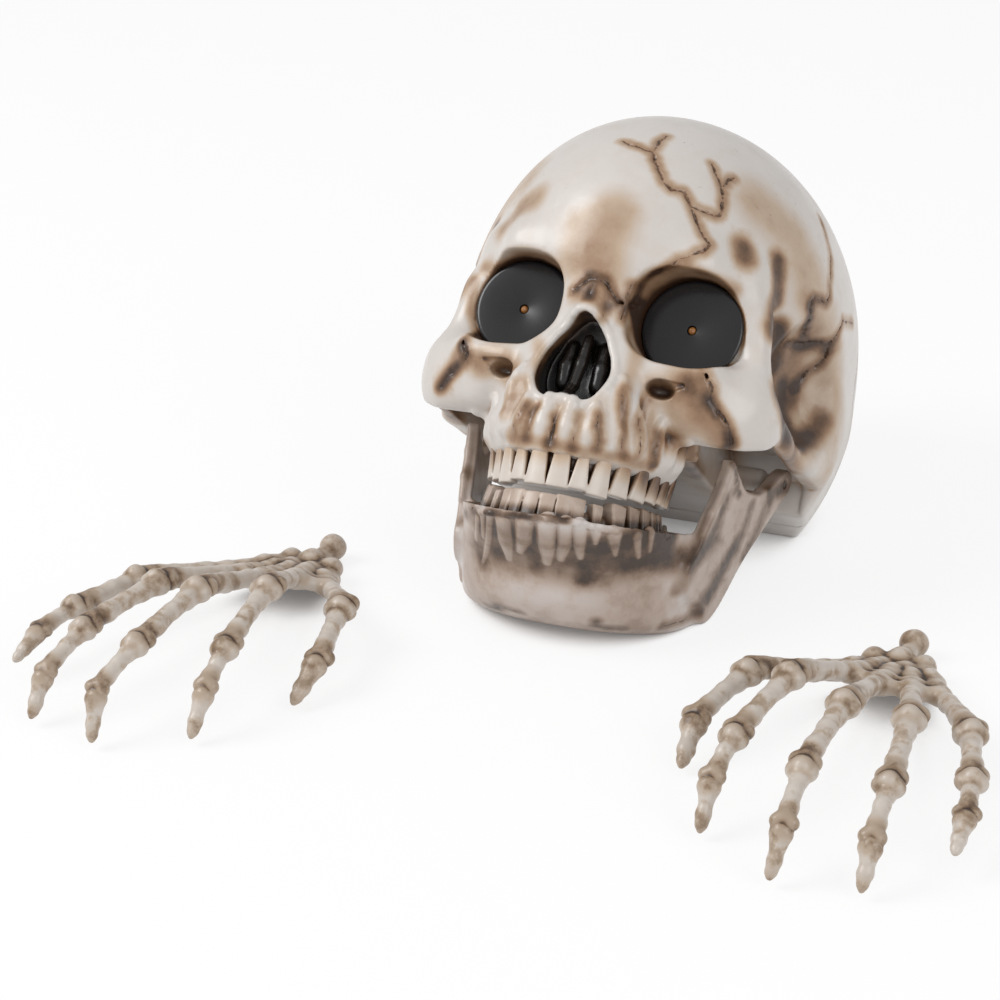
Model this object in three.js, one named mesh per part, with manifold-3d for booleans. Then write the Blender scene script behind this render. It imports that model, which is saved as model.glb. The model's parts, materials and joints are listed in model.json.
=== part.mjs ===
// Life-size skull decoration with two loose skeleton hands.
// Millimetres, +Z up. The surface is z = 0, the face looks along -Y, and x = 0 is the midplane.
// The head is tilted back, so the cranium is described in its own head frame: x to the side,
// y backwards and z upwards along the tilted skull, with the origin between the ears.

import * as THREE from 'three';
import { mergeVertices } from 'three/addons/utils/BufferGeometryUtils.js';
import Module from 'manifold-3d';

const wasm = await Module();
wasm.setup();

// Driving sizes of the skull

const face_height = 100; // brow ridge to the edge of the upper front teeth
const head_tilt = THREE.MathUtils.degToRad(35);
const head_rise_share = 0.6; // height of the head frame's origin over the surface
const wall = 2.4;
const face_thickening = 3; // how much thicker the wall is in the face
const gap = 0.3; // between neighbouring pieces
const overrun = 2; // how far a cutter runs past what it cuts
const parting_share = 0.38; // where the front and rear shells meet, behind the origin

// Eyes

const eye_diameter = 38;
const eye_thickness = 1.6;
const eye_place_shares = [0.327, -0.584, 0.143];
const led_diameter = 3;
const led_length = 5.3;
const led_flange = 0.5;
const led_flange_height = 1;
const led_stand = 0.4; // how far the light's tip stands out of the disc
const holder_diameter = 8;
const holder_flange = 2;
const holder_depth = 4.5;

// Jaw hinge

const hinge_shares = { y: -0.04, z: 0.34 }; // in the standing frame
const hinge_pin_diameter = 3;
const hinge_pin_head = 6;
const hinge_pin_head_height = 1.6;
const hinge_boss_diameter = 9;
const hinge_gap = 0.2;
const ramus_thickness = 5;
const hinge_side_gap = 0.4; // between the boss's end and the jaw

// Battery compartment and electronics

const cell_diameter = 14.5;
const cell_length = 50.5;
const cell_count = 3;
const cell_nub_diameter = 5.5;
const cell_nub_height = 1;
const box_wall = 1.8;
const contact_room = 4; // between the cells and one end of the box
const contact_thickness = 0.5;
const contact_width = 9;
const spring_wire = 0.8;
const spring_diameter = 7;
const spring_turns = 2;
const spring_steps = 6;
const plate_thickness = 4;
const door_thickness = 1.8;
const door_recess = 0.6; // the door lies this far above the surface
const door_overlap = 2;
const origin_inset = 1.5; // how far the set's origin lies in front of the door
const door_screw_head_height = 0.9;
const door_tab_width = 11;
const door_tab_depth = 8;
const door_screw_hole_share = 1.9; // of the screw's width: its tip has room to swing out
const bay_front_share = 0.3; // front edge of the battery bay, behind the midpoint
const standoff_diameter = 5;
const standoff_height = 4;
const board_inset = 9.25; // from each end of the battery bay to the board
const board_width = 26;
const board_thickness = 1.6;
const board_screw_inset = 4;
const switch_length = 9;
const switch_width = 4.4;
const switch_height = 4;
const switch_travel = 3;
const knob_length = 3;
const knob_width = 2;
const knob_head = 1.2; // how far the knob reaches into the switch
const switch_inset = 9.25; // from the end of the battery bay to the switch
const switch_behind = 6; // how far the switch lies behind the battery bay
const wire_diameter = 2;

// Screws

const screw_diameter = 2.8;
const screw_head = 5.4;
const screw_head_height = 1.6;
const screw_length = 9;
const short_screw_length = 4.5;
const boss_diameter = 8;
const boss_length = 10;
const lug_height_share = 0.62; // of the screw lugs at the parting line, in the head frame
const base_screw_shares = [0.36, 0.62];

// Hands

const hand_length = 168; // from the wrist ball's centre to the middle fingertip
const hand_width = 100;
const knuckle_height = 30;
const wrist_ball_diameter = 12;
const left_hand_place = { x: 127, y: -64.3 };
const right_hand_place = { x: -102.8, y: -64.7 };
const hand_turn = THREE.MathUtils.degToRad(-4);

// Shares of the face height, in the head frame. Each mass is a round cone: x, y, z and radius
// at each end. The x of every mass is mirrored to the other side.

const dome_shares = { at: [0, 0.09, 0.47], size: [0.62, 0.92, 0.615] };
const back_shares = { at: [0, 0.243, 0.605], size: [0.8, 0.92, 0.95] }; // in the standing frame
const cranium_blend_share = 0.2;
const face_blend_share = 0.1;
const face_mass_shares = [
  [[0.08, -0.7, 0.34, 0.07], [0.33, -0.645, 0.37, 0.075], [0.46, -0.515, 0.385, 0.06]],
  [[0.46, -0.515, 0.385, 0.06], [0.55, -0.505, 0.2, 0.045], [0.58, -0.515, 0.02, 0.065]],
  [[0.14, -0.71, -0.03, 0.05], [0.3, -0.7, -0.08, 0.06], [0.44, -0.67, -0.07, 0.065]],
  [[0.44, -0.67, -0.07, 0.065], [0.56, -0.54, -0.1, 0.09], [0.585, -0.46, -0.16, 0.09]],
  [[0.4, -0.63, -0.2, 0.08], [0.52, -0.56, -0.19, 0.085], [0.585, -0.46, -0.16, 0.09]],
  [[0.585, -0.46, -0.16, 0.09], [0.63, -0.3, -0.15, 0.075], [0.665, -0.05, -0.15, 0.08]],
  [[0.665, -0.05, -0.15, 0.08], [0.66, 0.15, -0.12, 0.1]],
  [[0, -0.715, 0.24, 0.055], [0, -0.8, 0.1, 0.065]],
  [[0.06, -0.72, 0.15, 0.05], [0.13, -0.74, -0.05, 0.06], [0.15, -0.78, -0.2, 0.07]],
  [[0, -0.86, -0.24, 0.06], [0.14, -0.8, -0.24, 0.08]],
];
const face_bulge_shares = [
  { at: [0, -0.68, 0.31], size: [0.17, 0.12, 0.12] },
  { at: [0, -0.62, -0.22], size: [0.33, 0.25, 0.2] },
  { at: [0.51, -0.55, -0.14], size: [0.13, 0.11, 0.13] },
];
const upper_arch_shares = { half_width: 0.275, back: -0.46, reach: 0.395, height: -0.36, radius: 0.06 };
const core_shares = [0, -0.1, 0.25]; // every ray that shapes the skull starts here
const reach_share = 2;
const ray_step_share = 0.02;
const weld = 1e-4; // points closer than this are one

// Hollows cut into the cranium, in the head frame

const orbit_rim_shares = { x: 0.34, z: 0.145, half_width: 0.212, half_height: 0.182, front: -1.1 };
const orbit_seat_share = 0.035; // depth of the round seat behind the rim
const nose_shares = { z: -0.08, front: -1.1, back: -0.66 };
const nose_outline_shares = [0.145, 0.105, 0.095, 0.105, 0.128, 0.152, 0.11];
const temple_shares = { at: [0.8, -0.2, 0.1], size: [0.25, 0.27, 0.25] };
const cheek_pit_shares = { x: [0.375, 0.655], side: [[-0.42, -0.17], [-0.3, -0.13], [0.14, -0.13], [0.23, -0.2]] };
const jaw_room_shares = { x: [0.6, 1], side: [[-0.4, -0.235], [0.22, -0.225]] };
const base_cut_shares = [[-0.47, -0.32], [0.3, -0.35], [0.51, -0.38]];
const cut_depth_share = 1.4;
const palate_shares = { at: [0, -0.55, -0.42], size: [0.18, 0.27, 0.1] };

// Teeth: width and length of each tooth from the middle to the back

const tooth_width_shares = [0.086, 0.068, 0.076, 0.072, 0.07, 0.1, 0.092];
const upper_tooth_length_shares = [0.165, 0.15, 0.165, 0.145, 0.135, 0.125, 0.115];
const lower_tooth_length_shares = [0.085, 0.085, 0.09, 0.08, 0.075, 0.07, 0.065];
const tooth_depth_share = 0.07;
const molar_depth_share = 0.09;
const tooth_waist_share = 0.86; // the neck of a tooth over its edge
const tooth_front_share = 1.25; // how far a tooth's front bulges
const upper_tooth_shares = { half_width: 0.3, back: -0.46, reach: 0.425, root: -0.4, rise: 0.01 };
const lower_tooth_shares = { half_width: 0.285, back: -0.46, reach: 0.45, root: -0.7, rise: 0.09 };

// Jaw, in the standing frame except its upper edge, which follows the tilted head. Each level
// is a horseshoe that lies a given share of the way from the surface to the upper edge.

const jaw_level_shares = [
  { half_width: 0.45, back: -0.6, reach: 0.245, lift: 0, square: 0.72, deep: 0.09 },
  { half_width: 0.46, back: -0.6, reach: 0.335, lift: 0.07, square: 0.8, deep: 0.1 },
  { half_width: 0.46, back: -0.6, reach: 0.45, lift: 0.22, square: 0.93, deep: 0.11 },
  { half_width: 0.44, back: -0.63, reach: 0.45, lift: 0.6, square: 0.92, deep: 0.12 },
];
const jaw_top_shares = {
  half_width: 0.42, back: -0.42, reach: 0.535, height: -0.68, rise: 0.1, deep: 0.16,
};
const ramus_side_shares = [
  [-0.67, 0], [-0.6, 0], [-0.52, 0.035], [-0.37, 0.14], [-0.2, 0.21], [-0.06, 0.275], [0, 0.29],
  [0.025, 0.34], [0, 0.39], [-0.06, 0.4], [-0.14, 0.375], [-0.25, 0.37], [-0.36, 0.43],
  [-0.43, 0.56], [-0.465, 0.585], [-0.53, 0.5], [-0.64, 0.42], [-0.69, 0.36], [-0.69, 0.2],
];
const ramus_flare_share = 0.214; // how much wider the jaw gets per length towards the hinge
const jaw_corner_shares = { x: 0.5, y: -0.6 };

// Hand bones: share of the hand's width, length and knuckle height, thumb to little finger

const wrist_shares = [0, 0.09, 0.2];
const palm_shares = [
  [-0.11, 0.17, 0.2], [-0.05, 0.175, 0.24], [0.01, 0.175, 0.24], [0.07, 0.17, 0.22], [0.12, 0.155, 0.2],
];
const finger_shares = [
  [[-0.39, 0.377, 0.6], [-0.474, 0.573, 0.46], [-0.46, 0.672, 0.13]],
  [[-0.192, 0.476, 0.98], [-0.248, 0.708, 0.86], [-0.266, 0.82, 0.6], [-0.263, 0.882, 0.12]],
  [[0.025, 0.542, 0.97], [0.019, 0.787, 0.91], [0.04, 0.936, 0.66], [0.026, 0.98, 0.13]],
  [[0.224, 0.508, 0.84], [0.279, 0.746, 0.82], [0.298, 0.894, 0.58], [0.302, 0.952, 0.13]],
  [[0.392, 0.432, 0.58], [0.477, 0.605, 0.58], [0.515, 0.725, 0.52], [0.522, 0.815, 0.34]],
];
const bone_diameter = 13;
const bone_end_shares = [1, 0.91, 0.77, 0.5];
const bone_waist_share = 0.64;
const bone_waist_start_share = 0.3;
const bone_cap_share = 0.6;
const tip_share = 0.5;
const neck_share = 0.55;
const carpus_size_shares = [0.14, 0.07, 0.2];
const led_wire_shares = [[0.3, -0.25, 0.2], [0.22, 0.1, 0.25], [0.14, 0.45, 0.1]];

// Counts and colours

const round_sides = 12;
const socket_sides = 20;
const small_sides = 10;
const bone_sides = 6;
const skin_rings = 24;
const skin_sides = 36;
const core_rings = 14;
const core_sides = 20;
const jaw_steps = 14;
const front_ring_power = 1.25;
const bone_colour = 0xd0cac5;
const jaw_colour = 0xb6a99e;
const hand_colour = 0xbfb3a4;
const disc_colour = 0x333134;
const amber_colour = 0xc28a4a;
const steel_colour = 0xa8a8aa;
const board_colour = 0x2f6b45;
const cell_colour = 0x8a8d92;
const black_colour = 0x1c1c1e;

// Derived places

const head_rise = head_rise_share * face_height;
const reach = reach_share * face_height;
const parting = parting_share * face_height;
const core = new THREE.Vector3(...core_shares).multiplyScalar(face_height);
const hinge = new THREE.Vector3(0, hinge_shares.y, hinge_shares.z).multiplyScalar(face_height);
const tilt_cos = Math.cos(head_tilt);
const tilt_sin = Math.sin(head_tilt);
const head_matrix = new THREE.Matrix4().makeRotationX(-head_tilt).setPosition(0, 0, head_rise);
const head_inverse = head_matrix.clone().invert();

// Solids: closed geometries in and out of the boolean library

function to_solid(geometry, matrix) {
  const bare = geometry.clone();
  bare.deleteAttribute('normal');
  bare.deleteAttribute('uv');
  if (matrix) bare.applyMatrix4(matrix);
  const merged = mergeVertices(bare, weld);
  const vertProperties = new Float32Array(merged.attributes.position.array);
  const triVerts = new Uint32Array(merged.index.array);
  if (matrix && matrix.determinant() < 0) triVerts.reverse();
  return new wasm.Manifold(new wasm.Mesh({ numProp: 3, vertProperties, triVerts }));
}

function to_geometry(solid) {
  const mesh = solid.getMesh();
  const geometry = new THREE.BufferGeometry();
  geometry.setAttribute('position', new THREE.BufferAttribute(new Float32Array(mesh.vertProperties), 3));
  geometry.setIndex(new THREE.BufferAttribute(new Uint32Array(mesh.triVerts), 1));
  geometry.computeVertexNormals();
  return geometry;
}

function join(solids) {
  return solids.reduce((sum, solid) => sum.add(solid));
}

function mirrored(solid) {
  return to_solid(to_geometry(solid), new THREE.Matrix4().makeScale(-1, 1, 1));
}

function on_both_sides(solid) {
  return solid.add(mirrored(solid));
}

// A matrix that stands a shape built along +Y between two points
function along(from, to) {
  const direction = to.clone().sub(from).normalize();
  const turn = new THREE.Quaternion().setFromUnitVectors(new THREE.Vector3(0, 1, 0), direction);
  return new THREE.Matrix4().compose(from, turn, new THREE.Vector3(1, 1, 1));
}

// A turned solid from [radius, distance] pairs, from one point to another
function turned(profile, from, to, sides = round_sides) {
  const points = profile.map(([radius, distance]) => new THREE.Vector2(radius, distance));
  return to_solid(new THREE.LatheGeometry(points, sides), along(from, to));
}

function rod(from, to, diameter, sides = round_sides) {
  const length = from.distanceTo(to);
  const radius = diameter / 2;
  return turned([[0, 0], [radius, 0], [radius, length], [0, length]], from, to, sides);
}

function block(low, high) {
  const size = high.clone().sub(low);
  const middle = low.clone().add(high).multiplyScalar(0.5);
  const matrix = new THREE.Matrix4().setPosition(middle);
  return to_solid(new THREE.BoxGeometry(size.x, size.y, size.z), matrix);
}

function ball(centre, size, sides = round_sides) {
  const matrix = new THREE.Matrix4().makeScale(size.x, size.y, size.z).setPosition(centre);
  return to_solid(new THREE.SphereGeometry(1, sides, sides / 2), matrix);
}

// An outline of [y, z] points pushed out along x
function side_plate(points, x_low, x_high) {
  const shape = new THREE.Shape(points.map(([y, z]) => new THREE.Vector2(y, z)));
  const plate = new THREE.ExtrudeGeometry(shape, { depth: x_high - x_low, bevelEnabled: false });
  const axes = new THREE.Matrix4().makeBasis(
    new THREE.Vector3(0, 1, 0), new THREE.Vector3(0, 0, 1), new THREE.Vector3(1, 0, 0),
  );
  return to_solid(plate, axes.setPosition(x_low, 0, 0));
}

function tube(points, diameter) {
  const path = new THREE.CatmullRomCurve3(points);
  const shape = new THREE.Shape().absarc(0, 0, diameter / 2, 0, 2 * Math.PI);
  const steps = Math.round(path.getLength() / (4 * diameter));
  const wire = new THREE.ExtrudeGeometry(shape, { steps, curveSegments: 4, extrudePath: path });
  return to_solid(wire);
}

// Points and sizes from shares of the face height

function place(shares) {
  return new THREE.Vector3(...shares).multiplyScalar(face_height);
}

function head_place(shares) {
  return place(shares).applyMatrix4(head_matrix);
}

function standing(y, z) {
  return [y * tilt_cos + z * tilt_sin, head_rise - y * tilt_sin + z * tilt_cos];
}

// The skull's outer skin as a distance field in the head frame, negative inside

function blend(a, b, width) {
  const near = Math.max(width - Math.abs(a - b), 0) / width;
  return Math.min(a, b) - near * near * width / 4;
}

function egg_distance(point, at, size) {
  const scaled = point.clone().sub(at).divide(size);
  const slope = scaled.clone().divide(size).length();
  const radius = scaled.length();
  return slope === 0 ? -size.x : radius * (radius - 1) / slope;
}

function cone_distance(point, start, end) {
  const from = new THREE.Vector3(...start);
  const line = new THREE.Vector3(...end).sub(from);
  const part = THREE.MathUtils.clamp(point.clone().sub(from).dot(line) / line.lengthSq(), 0, 1);
  const radius = start[3] + (end[3] - start[3]) * part;
  return point.distanceTo(from.addScaledVector(line, part)) - radius;
}

function scaled_run(run) {
  return run.map((knot) => knot.map((share) => share * face_height));
}

function arch_run(arch) {
  const steps = 6;
  const run = [];
  for (let step = 0; step <= steps; step += 1) {
    const angle = step / steps * Math.PI / 2;
    const x = arch.half_width * Math.sin(angle);
    const y = arch.back - arch.reach * Math.cos(angle);
    run.push([x, y, arch.height, arch.radius]);
  }
  return run;
}

const face_runs = [...face_mass_shares, arch_run(upper_arch_shares)].map(scaled_run);
const face_bulges = face_bulge_shares.map(({ at, size }) => ({ at: place(at), size: place(size) }));
const dome = { at: place(dome_shares.at), size: place(dome_shares.size) };
const back = { at: place(back_shares.at), size: place(back_shares.size) };

function skin_distance(head_point, face_cover = 0) {
  const standing_point = head_point.clone().applyMatrix4(head_matrix);
  const point = head_point.clone();
  point.x = Math.abs(point.x);
  let distance = egg_distance(point, dome.at, dome.size);
  const back_distance = egg_distance(standing_point, back.at, back.size);
  distance = blend(distance, back_distance, cranium_blend_share * face_height);
  const width = face_blend_share * face_height;
  for (const bulge of face_bulges) {
    distance = blend(distance, egg_distance(point, bulge.at, bulge.size) + face_cover, width);
  }
  for (const run of face_runs) {
    for (let knot = 1; knot < run.length; knot += 1) {
      const mass = cone_distance(point, run[knot - 1], run[knot]) + face_cover;
      distance = blend(distance, mass, width);
    }
  }
  return distance;
}

// The farthest point along a ray that lies a given depth under the skin
function skin_point(direction, depth, face_cover) {
  let outer = reach;
  const step = ray_step_share * face_height;
  const at = (radius) => core.clone().addScaledVector(direction, radius);
  while (outer > step && skin_distance(at(outer), face_cover) > -depth) outer -= step;
  let inner = outer;
  outer += step;
  for (let turn = 0; turn < 12; turn += 1) {
    const middle = (inner + outer) / 2;
    if (skin_distance(at(middle), face_cover) > -depth) outer = middle;
    else inner = middle;
  }
  return at(inner);
}

// The skin, or a copy of it some depth inside, as a solid. Its rings start at the face.
function skin_solid(depth, rings, sides, face_cover = 0) {
  const points = [];
  for (let ring = 0; ring <= rings; ring += 1) {
    const polar = Math.PI * (ring / rings) ** front_ring_power;
    const pole = ring === 0 || ring === rings;
    for (let side = 0; side < (pole ? 1 : sides); side += 1) {
      const turn = 2 * Math.PI * side / sides;
      const direction = new THREE.Vector3(
        Math.sin(polar) * Math.cos(turn), -Math.cos(polar), Math.sin(polar) * Math.sin(turn),
      );
      points.push(skin_point(direction, depth, face_cover).applyMatrix4(head_matrix));
    }
  }
  const faces = [];
  const last = points.length - 1;
  for (let side = 0; side < sides; side += 1) {
    const next = (side + 1) % sides;
    faces.push([0, 1 + side, 1 + next]);
    for (let ring = 0; ring < rings - 2; ring += 1) {
      const here = 1 + ring * sides;
      const there = here + sides;
      faces.push([here + side, there + next, here + next], [here + side, there + side, there + next]);
    }
    const final = 1 + (rings - 2) * sides;
    faces.push([last, final + next, final + side]);
  }
  return indexed_solid(points, faces);
}

function indexed_solid(points, faces) {
  const geometry = new THREE.BufferGeometry().setFromPoints(points);
  geometry.setIndex(faces.flat());
  return to_solid(geometry);
}

// Cutters of the cranium, each grown outwards by a wall's thickness for the hollow inside

function side_cutter(side, x_low, x_high, grow) {
  const points = side.map(([y, z]) => [y * face_height, z * face_height + grow]);
  points[0][0] -= grow;
  points[points.length - 1][0] += grow;
  const floor = -cut_depth_share * face_height;
  points.push([points[points.length - 1][0], floor], [points[0][0], floor]);
  const outline = points.reverse().map(([y, z]) => standing(y, z));
  return side_plate(outline, x_low * face_height - grow, x_high * face_height + grow);
}

function egg_cutter(egg, grow, sides = round_sides) {
  const size = place(egg.size).addScalar(grow);
  const matrix = head_matrix.clone().multiply(new THREE.Matrix4().setPosition(place(egg.at)));
  matrix.multiply(new THREE.Matrix4().makeScale(size.x, size.y, size.z));
  return to_solid(new THREE.SphereGeometry(1, sides, sides / 2), matrix);
}

// A closed outline of [x, z] points pushed out along the head's y axis
function front_cutter(points, y_low, y_high) {
  const shape = new THREE.Shape(points.map(([x, z]) => new THREE.Vector2(x, z)));
  const plug = new THREE.ExtrudeGeometry(shape, { depth: y_high - y_low, bevelEnabled: false });
  const axes = new THREE.Matrix4().makeBasis(
    new THREE.Vector3(1, 0, 0), new THREE.Vector3(0, 0, 1), new THREE.Vector3(0, -1, 0),
  );
  axes.setPosition(0, y_high, 0);
  return to_solid(plug, head_matrix.clone().multiply(axes));
}

function orbit_cutter(grow) {
  const rim = orbit_rim_shares;
  const eye = place(eye_place_shares);
  const opening = [];
  for (let side = 0; side < socket_sides; side += 1) {
    const angle = 2 * Math.PI * side / socket_sides;
    const x = rim.x * face_height + (rim.half_width * face_height + grow) * Math.cos(angle);
    const z = rim.z * face_height + (rim.half_height * face_height + grow) * Math.sin(angle);
    opening.push([x, z]);
  }
  const seat_depth = orbit_seat_share * face_height;
  const hole = front_cutter(opening, rim.front * face_height, eye.y + grow);
  const seat_from = eye.clone().setY(eye.y + eye_thickness + gap + grow).applyMatrix4(head_matrix);
  const seat_to = eye.clone().setY(eye.y - seat_depth - grow).applyMatrix4(head_matrix);
  return hole.add(rod(seat_from, seat_to, eye_diameter + 2 * gap + 2 * grow, socket_sides));
}

function nose_cutter(grow) {
  const half = nose_outline_shares.map((share) => share * face_height + grow);
  const steps = half.length - 1;
  const points = [];
  for (let turn = -steps; turn < steps; turn += 1) {
    const angle = Math.PI * turn / steps;
    const radius = half[Math.abs(turn)];
    points.push([-radius * Math.sin(angle), nose_shares.z * face_height + radius * Math.cos(angle)]);
  }
  return front_cutter(points, nose_shares.front * face_height, nose_shares.back * face_height + grow);
}

function cranium_cutters(grow) {
  const pit = cheek_pit_shares;
  const room = jaw_room_shares;
  return join([
    side_cutter(base_cut_shares, -room.x[1], room.x[1], grow),
    on_both_sides(side_cutter(pit.side, pit.x[0], pit.x[1], grow)),
    on_both_sides(side_cutter(room.side, room.x[0], room.x[1], grow)),
    on_both_sides(egg_cutter(temple_shares, grow)),
    egg_cutter(palate_shares, grow, small_sides),
    on_both_sides(orbit_cutter(grow)),
    nose_cutter(grow),
  ]);
}

// Teeth: tapered plugs set round a dental arch

function teeth(arch, lengths, direction) {
  const row = [];
  let travelled = 0;
  const quarter = arch_length(arch);
  const total = tooth_width_shares.reduce((sum, share) => sum + share);
  tooth_width_shares.forEach((share, index) => {
    const middle = (travelled + share / 2) / total;
    travelled += share;
    const angle = arch_angle(arch, middle * quarter);
    const x = arch.half_width * Math.sin(angle);
    const y = arch.back - arch.reach * Math.cos(angle);
    const facing = Math.atan2(arch.half_width * Math.cos(angle), arch.reach * Math.sin(angle));
    const width = share * quarter / total * face_height - gap;
    const depth = (index > 3 ? molar_depth_share : tooth_depth_share) * face_height;
    const length = lengths[index] * face_height;
    const root = arch.root + arch.rise * (1 - Math.cos(angle));
    row.push(tooth(place([x, y, root]), Math.PI / 2 - facing, width, depth, length * direction));
  });
  return on_both_sides(join(row));
}

function arch_angle(arch, wanted) {
  let travelled = 0;
  const steps = 90;
  for (let step = 0; step < steps; step += 1) {
    const angle = (step + 0.5) / steps * Math.PI / 2;
    const speed = Math.hypot(arch.half_width * Math.cos(angle), arch.reach * Math.sin(angle));
    travelled += speed * Math.PI / 2 / steps;
    if (travelled >= wanted) return angle;
  }
  return Math.PI / 2;
}

function arch_length(arch) {
  let travelled = 0;
  const steps = 90;
  for (let step = 0; step < steps; step += 1) {
    const angle = (step + 0.5) / steps * Math.PI / 2;
    travelled += Math.hypot(arch.half_width * Math.cos(angle), arch.reach * Math.sin(angle));
  }
  return travelled * Math.PI / 2 / steps;
}

function tooth(root, turn, width, depth, length) {
  const waist = tooth_waist_share;
  const corners = [[-1, -1], [0, -tooth_front_share], [1, -1], [1, 1], [-1, 1]];
  const points = [];
  for (const [level, narrow] of [[0, waist], [length, 1]]) {
    for (const [x, y] of corners) {
      const corner = new THREE.Vector3(x * width * narrow / 2, y * depth * narrow / 2, level);
      corner.applyAxisAngle(new THREE.Vector3(0, 0, 1), turn).add(root);
      points.push(corner.applyMatrix4(head_matrix));
    }
  }
  const count = corners.length;
  const faces = [];
  for (let side = 0; side < count; side += 1) {
    const next = (side + 1) % count;
    faces.push([side, next, count + next], [side, count + next, count + side]);
  }
  for (let side = 1; side < count - 1; side += 1) {
    faces.push([0, side + 1, side], [count, count + side, count + side + 1]);
  }
  return indexed_solid(points, length < 0 ? faces.map((face) => face.reverse()) : faces);
}

// Cranium: skin less its cutters, hollowed, then parted into a front and a rear shell

const surface_cut = block(
  new THREE.Vector3(-reach, -reach, -reach), new THREE.Vector3(reach, reach, 0),
);

function cranium_solid() {
  const outside = skin_solid(0, skin_rings, skin_sides).subtract(cranium_cutters(0));
  return outside.subtract(surface_cut);
}

function hollow_solid(depth) {
  return skin_solid(depth, core_rings, core_sides, face_thickening).subtract(cranium_cutters(depth));
}

// How far the inside of the wall lies from the midplane at a place in the standing frame
function inner_half_width(y, z) {
  let x = reach;
  const step = wall / 4;
  const at = () => new THREE.Vector3(x, y, z).applyMatrix4(head_inverse);
  while (x > 0 && skin_distance(at()) > -wall) x -= step;
  return x;
}

const shells = cranium_solid().subtract(hollow_solid(wall));
const rear_box = block(
  new THREE.Vector3(-reach, parting, -reach), new THREE.Vector3(reach, 2 * reach, reach),
);
const rear_space = to_solid(to_geometry(rear_box), head_matrix);
const front_limit = block(
  new THREE.Vector3(-reach, -2 * reach, -reach), new THREE.Vector3(reach, parting - gap, reach),
);
const front_space = to_solid(to_geometry(front_limit), head_matrix);

// Hinge bosses that carry the jaw's pins, from the cheek pit into the front shell

const ramus_outer = (jaw_corner_shares.x + ramus_flare_share
  * (hinge_shares.y - jaw_corner_shares.y)) * face_height;
const ramus_inner = ramus_outer - ramus_thickness;
const boss_outer = ramus_inner - hinge_side_gap - ramus_flare_share * hinge_boss_diameter / 2;
const boss_inner = cheek_pit_shares.x[0] * face_height - boss_length;

function at_hinge(x) {
  return new THREE.Vector3(x, hinge.y, hinge.z);
}

const hinge_boss = rod(at_hinge(boss_inner), at_hinge(boss_outer), hinge_boss_diameter);
const hinge_bore = rod(
  at_hinge(boss_inner - overrun), at_hinge(boss_outer + overrun),
  hinge_pin_diameter + 2 * hinge_gap,
);

// Screw bosses at the parting line: the screws go in from behind, through the open base

const lug_height = lug_height_share * face_height;
const [lug_y, lug_z] = standing(parting, lug_height);
const lug_x = inner_half_width(lug_y, lug_z) - boss_diameter / 2 + wall / 2;

function at_lug(head_y) {
  const [y, z] = standing(head_y, lug_height);
  return new THREE.Vector3(lug_x, y, z);
}

const lug_front = parting - gap - boss_length;
const lug_back = parting + boss_length / 2;
const front_lug = rod(at_lug(lug_front), at_lug(parting - gap), boss_diameter, small_sides);
const rear_lug = rod(at_lug(parting), at_lug(lug_back), boss_diameter, small_sides);
const lug_bore = rod(
  at_lug(parting - gap - short_screw_length), at_lug(lug_back + overrun),
  screw_diameter + 2 * gap, small_sides,
).add(rod(
  at_lug(lug_back), at_lug(lug_back + screw_head_height + overrun), screw_head + 2 * gap, small_sides,
));

// Eye parts behind the socket floor

const eye = place(eye_place_shares);

function at_eye(head_y, side = 1) {
  return new THREE.Vector3(side * eye.x, head_y, eye.z).applyMatrix4(head_matrix);
}

const socket_front = eye.y + eye_thickness + gap;
const socket_back = socket_front + wall;
const socket_hole = rod(
  at_eye(socket_front - overrun), at_eye(socket_back + overrun), holder_diameter + 2 * gap,
);

const front_shell = shells.intersect(front_space)
  .add(teeth(upper_tooth_shares, upper_tooth_length_shares, -1))
  .add(on_both_sides(hinge_boss)).subtract(on_both_sides(hinge_bore))
  .add(on_both_sides(front_lug)).subtract(on_both_sides(lug_bore))
  .subtract(on_both_sides(socket_hole));

// Base plate bosses stand just inside the rear shell's wall

const base_boss_bottom = plate_thickness + gap;
const base_boss_top = base_boss_bottom + boss_length;

function base_screw_place(share) {
  const y = share * face_height;
  const x = inner_half_width(y, 0) - screw_head / 2 - wall;
  return new THREE.Vector3(x, y, 0);
}

function base_boss(at) {
  const rib_end = inner_half_width(at.y, base_boss_bottom) + wall / 2;
  const rib = block(
    new THREE.Vector3(at.x, at.y - wall / 2, base_boss_bottom),
    new THREE.Vector3(rib_end, at.y + wall / 2, base_boss_top),
  );
  return rib.add(upright(at, base_boss_bottom, base_boss_top, boss_diameter));
}

function upright(place_at, low, high, diameter, sides = small_sides) {
  return rod(place_at.clone().setZ(low), place_at.clone().setZ(high), diameter, sides);
}

const base_screw_places = base_screw_shares.map(base_screw_place);
const base_bosses = join(base_screw_places.map((at) => on_both_sides(base_boss(at))));
const base_bores = join(base_screw_places.map((at) => on_both_sides(
  upright(at, base_boss_bottom - overrun, base_boss_top - wall, screw_diameter + 2 * gap),
)));

const rear_shell = shells.intersect(rear_space)
  .add(on_both_sides(rear_lug)).subtract(on_both_sides(lug_bore))
  .add(base_bosses).subtract(base_bores);

// Base plate with the battery bay, a slot for the switch and counterbores for its screws

const bay_width = cell_length + 2 * contact_room;
const bay_depth = cell_count * (cell_diameter + gap) + gap;
const bay_front = bay_front_share * face_height;
const bay_back = bay_front + bay_depth;
const bay_x = bay_width / 2;
const board_length = bay_width - 2 * board_inset;
const switch_side = bay_x - switch_inset;
const switch_y = bay_back + switch_behind;
const tab_x = door_tab_width / 2;
const tab_back = bay_back + door_overlap + door_tab_depth;
const door_low = door_recess;
const door_high = door_recess + door_thickness;

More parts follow.
